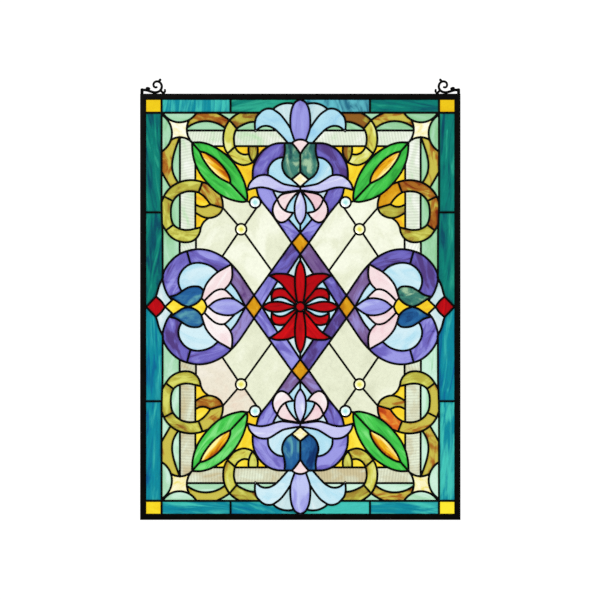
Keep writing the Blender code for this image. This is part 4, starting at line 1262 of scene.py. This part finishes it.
@dataclass
class Jewel:
    """A pressed glass cabochon, domed on both faces, with its edge under the solder."""
    glass: Glass
    spot: Place
    motif: str
    slot: str
    profile: tuple[Place, ...] = ((0.9, 0.9), (1.1, 0.75), (1.3, 0.55), (1.3, 0.3), (1.1, 0.1))
    middle_depth: float = 0.5     # how far before the panel's middle plane the first ring lies
    rim: float = 0.9              # height of the straight rim before it
    merge: float = 0.001          # corners nearer than this are one corner
    sides: int = 32
    smooth_angle: float = 50.0
    shade_slope: float = 6.0      # how fast the lead's painted shade falls from the edge inward

    def build(self, glazing: Glazing) -> None:
        """Models one jewel and copies it to the four quarters.

        Args:
            glazing: the glazing, whose materials and edges it shares.
        """
        middle = Vector(self.spot) * SIZES.scale
        radius = (JEWEL_RADIUS * SIZES.scale.x - glazing.glass_inset) * MM
        bpy.ops.object.select_all(action="DESELECT")
        bpy.ops.mesh.primitive_circle_add(vertices=self.sides, radius=radius, fill_type="NGON",
                                          location=(0, -self.middle_depth * MM, 0),
                                          rotation=(math.pi / 2, 0, 0))
        jewel = fixed()
        opened()
        bpy.ops.mesh.extrude_region_move(TRANSFORM_OT_translate={"value": (0, -self.rim * MM, 0)})
        for inward, rise in self.profile:
            bpy.ops.mesh.inset(thickness=inward * MM)
            bpy.ops.transform.translate(value=(0, -rise * MM, 0))
        bpy.ops.object.mode_set(mode="OBJECT")
        self.finish_faces(jewel)
        copies = bmesh.new()
        for x, z in (quarter.value for quarter in QUARTERS):
            copy = jewel.data.copy()
            place = Vector((x * middle.x, 0, z * middle.y - SIZES.hook_height)) * MM
            copy.transform(Matrix.Translation(place))
            copies.from_mesh(copy)
            bpy.data.meshes.remove(copy)
        bpy.data.objects.remove(jewel)
        piece = linked(f"{self.motif}_{self.glass.label}", copies, glazing.material(self.glass))
        dress(piece, nodes_of(self.motif))

    def finish_faces(self, jewel: bpy.types.Object) -> None:
        """Mirrors the dome to the back, smooths it and gives it the maps that the glass reads.

        Args:
            jewel: the front half, round the Y axis.
        """
        chosen(jewel)
        mirror = jewel.modifiers.new("back", "MIRROR")
        mirror.use_axis = (False, True, False)
        mirror.use_clip = True
        bpy.ops.object.modifier_apply(modifier=mirror.name)
        opened()
        bpy.ops.mesh.remove_doubles(threshold=self.merge * MM)
        closed(self.smooth_angle)
        radius = max(vert.co.x for vert in jewel.data.vertices)
        sheet = jewel.data.uv_layers[0] if jewel.data.uv_layers else jewel.data.uv_layers.new()
        sheet.name = "sheet"
        shape = jewel.data.uv_layers.new(name="shape")
        jewel.data.attributes.new("tone", "FLOAT", "POINT")
        shade = jewel.data.attributes.new("shade", "FLOAT", "POINT")
        for loop in jewel.data.loops:
            place = jewel.data.vertices[loop.vertex_index].co
            reach = math.hypot(place.x, place.z) / radius
            sheet.data[loop.index].uv = (place.x, place.z)
            shape.data[loop.index].uv = (0.0, 2 * reach - 1)
            # painted shade of the lead, strongest at the jewel's rim
            shade.data[loop.vertex_index].value = max(0.0, 1 + self.shade_slope * (reach - 1))


@dataclass(frozen=True)
class Patina:
    """Metal under a black chemical patina: dark, satin, a little worn and uneven, with a painted brown
    sheen, as the eye gets it.
    """
    name: str
    base: str
    # paler brown of worn patina, and of a painted brown sheen
    worn: str
    metallic: float = 0.6
    roughness: Place = (0.34, 0.55)      # in the hollows and on the ridges of the grain
    grain: float = 1.2          # size of the cast or soldered unevenness, in millimetres
    depth: float = 0.03         # its height, in millimetres
    cloud: float = 14.0         # size of the patina's clouds, in millimetres

    def material(self) -> bpy.types.Material:
        """The metal's finish.

        Returns:
            Its material, on Object coordinates.
        """
        material, tree, shader = new_material(self.name)
        place = add_node(tree, "ShaderNodeTexCoord").outputs["Object"]
        cloud = add_node(tree, "ShaderNodeTexNoise", {
            "Vector": place, "Scale": 1000 / self.cloud, "Detail": 5.0, "Roughness": 0.6}).outputs["Fac"]
        grain = add_node(tree, "ShaderNodeTexNoise", {
            "Vector": place, "Scale": 1000 / self.grain, "Detail": 3.0}).outputs["Fac"]
        # clouds of patina wear and of painted brown sheen
        worn = add_node(tree, "ShaderNodeMapRange", {
            "Value": cloud, "From Min": 0.45, "From Max": 0.75}).outputs["Result"]
        colour = add_node(tree, "ShaderNodeMix", {
            "Factor": worn, 6: linear(self.base), 7: linear(self.worn)}, data_type="RGBA").outputs[2]
        rough = add_node(tree, "ShaderNodeMapRange", {
            "Value": grain, "From Min": 0.3, "From Max": 0.7, "To Min": self.roughness[0],
            "To Max": self.roughness[1]}).outputs["Result"]
        bump = add_node(tree, "ShaderNodeBump", {"Height": grain, "Distance": self.depth * MM})
        tree.links.new(colour, shader.inputs["Base Color"])
        tree.links.new(rough, shader.inputs["Roughness"])
        tree.links.new(bump.outputs["Normal"], shader.inputs["Normal"])
        shader.inputs["Metallic"].default_value = self.metallic
        material.diffuse_color = linear(self.base)
        return material


@dataclass
class Leading:
    """The solder beads on both faces, joined through the panel between the glasses."""
    cutting: Cutting
    shoulder_at: float = 0.52    # where the bead's shoulder lies, as a share of the way to its edge
    shoulder: float = 0.86       # how high it is there, as a share of the bead's height
    web_inset: float = 0.35      # half width of the metal between the glasses
    merge: float = 0.004         # corners nearer than this are one corner
    smooth_angle: float = 48.0

    def strips(self, outline: Outline) -> list[tuple[list, list]]:
        """The faces of one glass's share of the front beads.

        Args:
            outline: the outline of the glass on the lead lines' centres.

        Returns:
            Strips, each as its corners in three dimensions and its faces.
        """
        crown, glass, ring = SIZES.lead / 2, SIZES.glass / 2, outline.ring
        middle, edge = outline.under_lead(self.shoulder_at), outline.under_lead(1.0)
        web = outline.moved_in(self.web_inset)
        if not edge:
            return [self.strip(((ring, crown),))]
        height = glass + (crown - glass) * self.shoulder
        return [self.strip(((ring, crown), (middle, height), (edge, glass))),
                self.strip(((web, glass), (edge, glass)), flipped=True), self.wall(web, glass)]

    def strip(self, rings: tuple[tuple[Run, float], ...], flipped: bool = False) -> tuple[list, list]:
        """Triangles between nested rings.

        Args:
            rings: each ring and its height, from the outer one inward.
            flipped: whether the faces look to the back.

        Returns:
            The corners in three dimensions and the triangles.
        """
        points, loops, heights = [], [], []
        for ring, height in rings:
            loops.append(list(range(len(points), len(points) + len(ring))))
            points += ring
            heights += [height] * len(ring)
        spots, _, faces, origins, _, sources = delaunay_2d_cdt(points, [], loops, 1, TOUCHING)
        corners = [(spot.x, heights[origin[0]] if origin else rings[0][1], spot.y)
                   for spot, origin in zip(spots, origins)]
        innermost = max(1, len(rings) - 1)
        kept = [face[::-1] if flipped else face for face, source in zip(faces, sources)
                if source and innermost not in source]
        return corners, kept

    def wall(self, ring: Run, height: float) -> tuple[list, list]:
        """Upright faces from a ring down to the panel's middle plane.

        Args:
            ring: the ring.
            height: its height before that plane.

        Returns:
            The corners in three dimensions and the faces.
        """
        corners = [(point.x, y, point.y) for y in (height, 0.0) for point in ring]
        count = len(ring)
        return corners, [(a + count, b + count, b, a) for a, b in sides_of(list(range(count)))]

    def build(self, material: bpy.types.Material) -> None:
        """Models the beads over every glass, mirrors them to the back and joins them.

        Args:
            material: their finish.
        """
        mesh = bmesh.new()
        for outline in self.cutting.outlines:
            middle = centre_of(outline.ring)
            if min(middle.x, middle.y) < -ON_MIDDLE:
                continue
            signs = [(x, z) for x in (1, -1) for z in (1, -1) if not repeats(middle, x, z)]
            for corners, faces in self.strips(outline):
                for x, z in signs:
                    verts = [mesh.verts.new((x * u * MM, -y * MM, (z * v - SIZES.hook_height) * MM))
                             for u, y, v in corners]
                    for face in faces:
                        mesh.faces.new([verts[corner] for corner in face[::x * z]])
        bmesh.ops.remove_doubles(mesh, verts=mesh.verts, dist=self.merge * MM)
        rim_edges = [edge for edge in mesh.edges if edge.is_boundary
                     and all(vert.co.y < -SIZES.glass / 2 * MM for vert in edge.verts)]
        walls = bmesh.ops.extrude_edge_only(mesh, edges=rim_edges)["geom"]
        for vert in (part for part in walls if isinstance(part, bmesh.types.BMVert)):
            vert.co.y = 0.0
        bmesh.ops.delete(mesh, geom=[vert for vert in mesh.verts if not vert.link_faces], context="VERTS")
        piece = linked("leading_solder_beads", mesh, material)
        chosen(piece)
        mirror = piece.modifiers.new("back", "MIRROR")
        mirror.use_axis = (False, True, False)
        mirror.merge_threshold = self.merge * MM
        bpy.ops.object.modifier_apply(modifier=mirror.name)
        opened()
        closed(self.smooth_angle)
        dress(piece, ["leading"])


@dataclass
class CameFrame:
    """Four mitred bars of U-shaped came with rolled edges."""
    round_edge: float = 0.8
    round_steps: int = 4
    mitre_gap: float = 0.01      # how far each bar's end stands back from the mitre
    facing: float = 0.99         # cosine within which a face looks toward the glass
    smooth_angle: float = 40.0

    def select_by(self, piece: bpy.types.Object, test: Callable[[Vector, Vector], bool]) -> None:
        """Selects faces in edit mode.

        Args:
            piece: the piece that is being edited.
            test: says of a face's middle and normal whether it is selected.
        """
        bpy.ops.mesh.select_all(action="DESELECT")
        mesh = bmesh.from_edit_mesh(piece.data)
        for face in mesh.faces:
            face.select_set(test(face.calc_center_median(), face.normal))
        bmesh.update_edit_mesh(piece.data)

    def bar(self, name: str, along_x: bool, sign: int, material: bpy.types.Material) -> None:
        """Models one bar.

        Args:
            name: the CAD node that it stands for.
            along_x: whether it runs across, as the top and bottom bars do.
            sign: 1 at the top or right, -1 at the bottom or left.
            material: its finish.
        """
        length = SIZES.width if along_x else SIZES.height
        reach = (SIZES.sight_z if along_x else SIZES.sight_x) + SIZES.frame_face / 2
        size = (length, SIZES.depth, SIZES.frame_face)[::1 if along_x else -1]
        outward = Vector((0, 0, sign)) if along_x else Vector((sign, 0, 0))
        bpy.ops.object.select_all(action="DESELECT")
        bpy.ops.mesh.primitive_cube_add(size=1.0)
        bar = bpy.context.object
        bar.name = name + "_came"
        bar.scale = Vector(size) * MM
        bar.location = (outward * reach - Vector((0, 0, SIZES.hook_height))) * MM
        fixed()
        bpy.ops.object.mode_set(mode="EDIT")
        bpy.ops.mesh.select_mode(type="EDGE")
        bpy.ops.mesh.select_all(action="DESELECT")
        mesh = bmesh.from_edit_mesh(bar.data)
        for edge in mesh.edges:
            run = edge.verts[1].co - edge.verts[0].co
            edge.select_set(abs(run.x if along_x else run.z) > length * MM / 2)
        bmesh.update_edit_mesh(bar.data)
        bpy.ops.mesh.bevel(offset=self.round_edge * MM, segments=self.round_steps, affect="EDGES")
        bpy.ops.mesh.select_mode(type="FACE")
        self.select_by(bar, lambda middle, normal: normal.dot(outward) < -self.facing)
        bpy.ops.mesh.inset(thickness=(SIZES.frame_lip - self.round_edge) * MM)
        depth = SIZES.bite + SIZES.channel_clearance
        bpy.ops.mesh.extrude_region_move(TRANSFORM_OT_translate={"value": outward * depth * MM})
        for end in (-1, 1):
            corner = Vector((end * SIZES.sight_x, 0, sign * SIZES.sight_z) if along_x
                            else (sign * SIZES.sight_x, 0, end * SIZES.sight_z))
            away = (Vector((end, 0, 0)) if along_x else Vector((0, 0, end))) - outward
            bpy.ops.mesh.select_all(action="SELECT")
            cut = corner - Vector((0, 0, SIZES.hook_height)) - away * self.mitre_gap
            bpy.ops.mesh.bisect(plane_co=cut * MM, plane_no=away.normalized(), use_fill=True,
                                clear_outer=True)
        closed(self.smooth_angle)
        bar.data.materials.append(material)
        dress(bar, [name])

    def build(self, material: bpy.types.Material) -> None:
        """Models the four bars.

        Args:
            material: their finish.
        """
        for name, along_x, sign in (("frame_top", True, 1), ("frame_bottom", True, -1),
                                    ("frame_right", False, 1), ("frame_left", False, -1)):
            self.bar(name, along_x, sign, material)


@dataclass
class ScrollHanger:
    """A cast scroll hanger. Its places run inward from the panel's side and up from its top."""
    side: int                    # -1 for the left one, 1 for the right one
    rod: float = 1.85            # radius that the scrolls' thicknesses are shares of
    voxel: float = 0.28          # how fine the skin is

    def place(self, u: float, v: float, depth: float = 0.0) -> Vector:
        """A point of the hanger in metres."""
        x = self.side * (SIZES.width / 2 - u)
        return Vector((x, depth, SIZES.height / 2 + v - SIZES.hook_height)) * MM

    def scroll(self, points: Run, start: float, end: float) -> bpy.types.Object:
        """A round rod along a run.

        Args:
            points: its middle line.
            start: its radius at the first point, as a share of the rod's.
            end: its radius at the last point.

        Returns:
            The rod as a mesh.
        """
        bpy.ops.object.select_all(action="DESELECT")
        bpy.ops.curve.primitive_bezier_curve_add()
        rod = bpy.context.object
        rod.data.splines.clear()
        spline = rod.data.splines.new("POLY")
        spline.points.add(len(points) - 1)
        for index, (spot, point) in enumerate(zip(spline.points, points)):
            spot.co = (*self.place(point.x, point.y), 1.0)
            spot.radius = self.rod * (start + (end - start) * index / (len(points) - 1))
        rod.data.dimensions = "3D"
        rod.data.bevel_depth = MM
        rod.data.bevel_resolution = 4
        rod.data.use_fill_caps = True
        chosen(rod)
        bpy.ops.object.convert(target="MESH")
        return bpy.context.object

    def ball(self, u: float, v: float, size: tuple[float, float, float],
             lean: float = 0.0) -> bpy.types.Object:
        """A bud or leaf that swells out of the scroll.

        Args:
            u: its middle, inward from the panel's side.
            v: its middle, up from the panel's top.
            size: its width, depth and height.
            lean: the angle that it leans by, in degrees.

        Returns:
            The bud as a mesh.
        """
        bpy.ops.object.select_all(action="DESELECT")
        bpy.ops.mesh.primitive_uv_sphere_add(segments=24, ring_count=16, radius=0.5)
        bud = bpy.context.object
        bud.scale = Vector(size) * MM
        bud.rotation_euler = (0, self.side * math.radians(lean), 0)
        bud.location = self.place(u, v)
        return fixed()

    def block(self, low: Place, high: Place, half_depth: float, edge: float) -> bpy.types.Object:
        """A post or foot with rounded edges.

        Args:
            low: its lower corner toward the panel's side.
            high: its upper corner on the other side.
            half_depth: half its depth, front to back.
            edge: how far its edges are rounded.

        Returns:
            The block as a mesh.
        """
        bpy.ops.object.select_all(action="DESELECT")
        bpy.ops.mesh.primitive_cube_add(size=1.0)
        block = bpy.context.object
        block.scale = Vector((high[0] - low[0], 2 * half_depth, high[1] - low[1])) * MM
        block.location = self.place((low[0] + high[0]) / 2, (low[1] + high[1]) / 2)
        fixed()
        opened()
        bpy.ops.mesh.bevel(offset=edge * MM, segments=3, affect="EDGES")
        bpy.ops.object.mode_set(mode="OBJECT")
        return block

    def build(self, name: str, material: bpy.types.Material) -> None:
        """Models the casting's parts and melts them into one smooth skin.

        Args:
            name: the CAD node that it stands for.
            material: its finish.
        """
        stem = curve((2.4, 5.8), (9, 5.2), (14.5, 3.5), (20.5, 2.1), (26, 3.1), (29.6, 6.4), (30.8, 10.6),
                     (29.6, 14.6), (27, 17.1), (23.6, 17.8), (20.4, 16.5), (18.9, 13.6), (19.5, 10.7),
                     (21.4, 9.2), (23.6, 9.4), steps=6)
        curl = curve((29.6, 5.2), (30.8, 3), (33, 1.9), (35.4, 3.2), (35.3, 5.8), steps=6)
        tail = curve((26.6, 16.9), (27.2, 19.0), (28.8, 20.6), steps=6)
        parts = [
            self.scroll(stem, 1.1, 0.85),
            self.scroll(curl, 0.95, 0.8),
            self.scroll(tail, 0.75, 0.85),
            self.ball(23.4, 9.5, (3.5, 3.0, 3.3)),
            self.ball(35.2, 5.6, (3.3, 2.8, 3.3)),
            self.ball(28.6, 20.1, (3.6, 2.4, 4.0), 35),
            self.ball(11.2, 7.9, (7.2, 3.4, 4.2), -12),
            self.ball(2.7, 6.6, (5.0, 4.6, 3.0)),
            self.block((0.3, 0.2), (4.7, 6.8), 2.4, 0.6),
            self.block((18.0, 0.2), (23.0, 2.1), 1.5, 0.4),
            self.block((30.5, 0.2), (35.5, 1.9), 1.5, 0.4),
        ]
        bpy.ops.object.select_all(action="DESELECT")
        for part in parts:
            part.select_set(True)
        bpy.context.view_layer.objects.active = parts[0]
        bpy.ops.object.join()
        casting = bpy.context.object
        casting.name = name + "_casting"
        casting.data.materials.clear()
        casting.data.materials.append(material)
        for kind, settings in (("REMESH", {"mode": "VOXEL", "voxel_size": self.voxel * MM}),
                               ("CORRECTIVE_SMOOTH", {"factor": 0.5, "iterations": 5,
                                                      "use_only_smooth": True})):
            modifier = casting.modifiers.new(kind.lower(), kind)
            for setting, value in settings.items():
                setattr(modifier, setting, value)
            bpy.ops.object.modifier_apply(modifier=modifier.name)
        bpy.ops.object.shade_smooth()
        casting.location = (0, 0, 0)
        dress(casting, [name])


@dataclass
class Studio:
    """The camera at the photograph's viewing angle, a pale floor, a white surround and soft lights."""
    span: float = 856.6          # what the picture's side takes in at the panel, in millimetres
    lens: float = 150.0
    sensor: float = 36.0
    aim: Place = (-0.4, -310.5)  # the picture's middle at the panel, in millimetres
    floor_drop: float = 1.25     # from the hooks down to the floor, in metres
    floor_size: Place = (1.8, 1.2)
    white_light: float = 1.08    # the white that shows through the glasses
    room_light: float = 0.1      # what falls on the panel from the room
    lamp_size: float = 1.2       # side of each square light, in metres
    lamp_aim: float = -0.32      # height that the lights face, in metres

    def camera(self) -> None:
        """Sets the camera level with the panel, a long way off."""
        data = bpy.data.cameras.new("camera")
        data.lens, data.sensor_width = self.lens, self.sensor
        camera = bpy.data.objects.new("camera", data)
        bpy.context.scene.collection.objects.link(camera)
        camera.location = (self.aim[0] * MM, -self.span * MM * self.lens / self.sensor, self.aim[1] * MM)
        camera.rotation_euler = (math.pi / 2, 0, 0)
        bpy.context.scene.camera = camera

    def surround(self) -> None:
        """A white surround that shows through the glasses, in a dimmer room."""
        world = bpy.data.worlds.new("white_surround")
        world.use_nodes = True
        tree = world.node_tree
        path = add_node(tree, "ShaderNodeLightPath").outputs
        seen = add_node(tree, "ShaderNodeMath", {0: path["Is Camera Ray"], 1: path["Is Transmission Ray"]},
                        operation="MAXIMUM").outputs[0]
        strength = add_node(tree, "ShaderNodeMapRange", {
            "Value": seen, "To Min": self.room_light, "To Max": self.white_light}).outputs["Result"]
        background = tree.nodes["Background"]
        background.inputs["Color"].default_value = (1, 1, 1, 1)
        tree.links.new(strength, background.inputs["Strength"])
        bpy.context.scene.world = world
        bpy.context.scene.view_settings.view_transform = "Standard"

    def light(self, name: str, place: tuple[float, float, float], power: float) -> None:
        """A square soft light that faces the panel.

        Args:
            name: its name.
            place: where it stands, in metres.
            power: its power in watts.
        """
        data = bpy.data.lights.new(name, "AREA")
        data.size, data.energy = self.lamp_size, power
        lamp = bpy.data.objects.new(name, data)
        bpy.context.scene.collection.objects.link(lamp)
        lamp.location = place
        facing = Vector((0, 0, self.lamp_aim)) - lamp.location
        lamp.rotation_euler = facing.to_track_quat("-Z", "Y").to_euler()

    def floor(self) -> None:
        """A plain pale floor below the hung panel."""
        bpy.ops.object.select_all(action="DESELECT")
        bpy.ops.mesh.primitive_plane_add(size=1.0, location=(0, 0, -self.floor_drop))
        floor = bpy.context.object
        floor.name = "floor"
        floor.scale = (*self.floor_size, 1.0)
        material, _, shader = new_material("pale_floor")
        shader.inputs["Base Color"].default_value = linear("#F2F1EE")
        shader.inputs["Roughness"].default_value = 0.8
        floor.data.materials.append(material)

    def build(self) -> None:
        """Sets up the studio."""
        self.camera()
        self.surround()
        self.light("key_light", (-1.3, -2.0, 0.9), 10.0)
        self.light("fill_light", (1.5, -1.8, 0.2), 4.0)
        self.light("back_light", (0.9, 2.0, 0.8), 8.0)
        self.floor()


def main() -> None:
    """Builds the panel's pieces in order."""
    logging.basicConfig(level=logging.INFO, format="%(name)s: %(message)s")
    Studio().build()
    cutting = Cutting([(simplify(run, RUN_TOLERANCE), width) for run, width in Cartoon().runs()])
    LOG.info("%d glasses cut", len(cutting.outlines))
    glazing = Glazing(cutting)
    glazing.build()
    Jewel(Glass.JEWEL_CREAM, CREAM_JEWEL, "cream_jewel", "cream_glass").build(glazing)
    Jewel(Glass.JEWEL_AQUA, AQUA_JEWEL, "leaf", "green_glass").build(glazing)
    Leading(cutting).build(Patina("black_patina_solder", "#0B0A0A", "#1A1817").material())
    came = Patina("black_patina_zinc_came", "#0D0B09", "#201B17", grain=0.8, depth=0.015).material()
    CameFrame().build(came)
    casting = Patina("blackened_casting", "#0A0A0A", "#191817", grain=0.9, depth=0.05).material()
    ScrollHanger(-1).build("hanger_left", casting)
    ScrollHanger(1).build("hanger_right", casting)


if __name__ == "__main__":
    main()
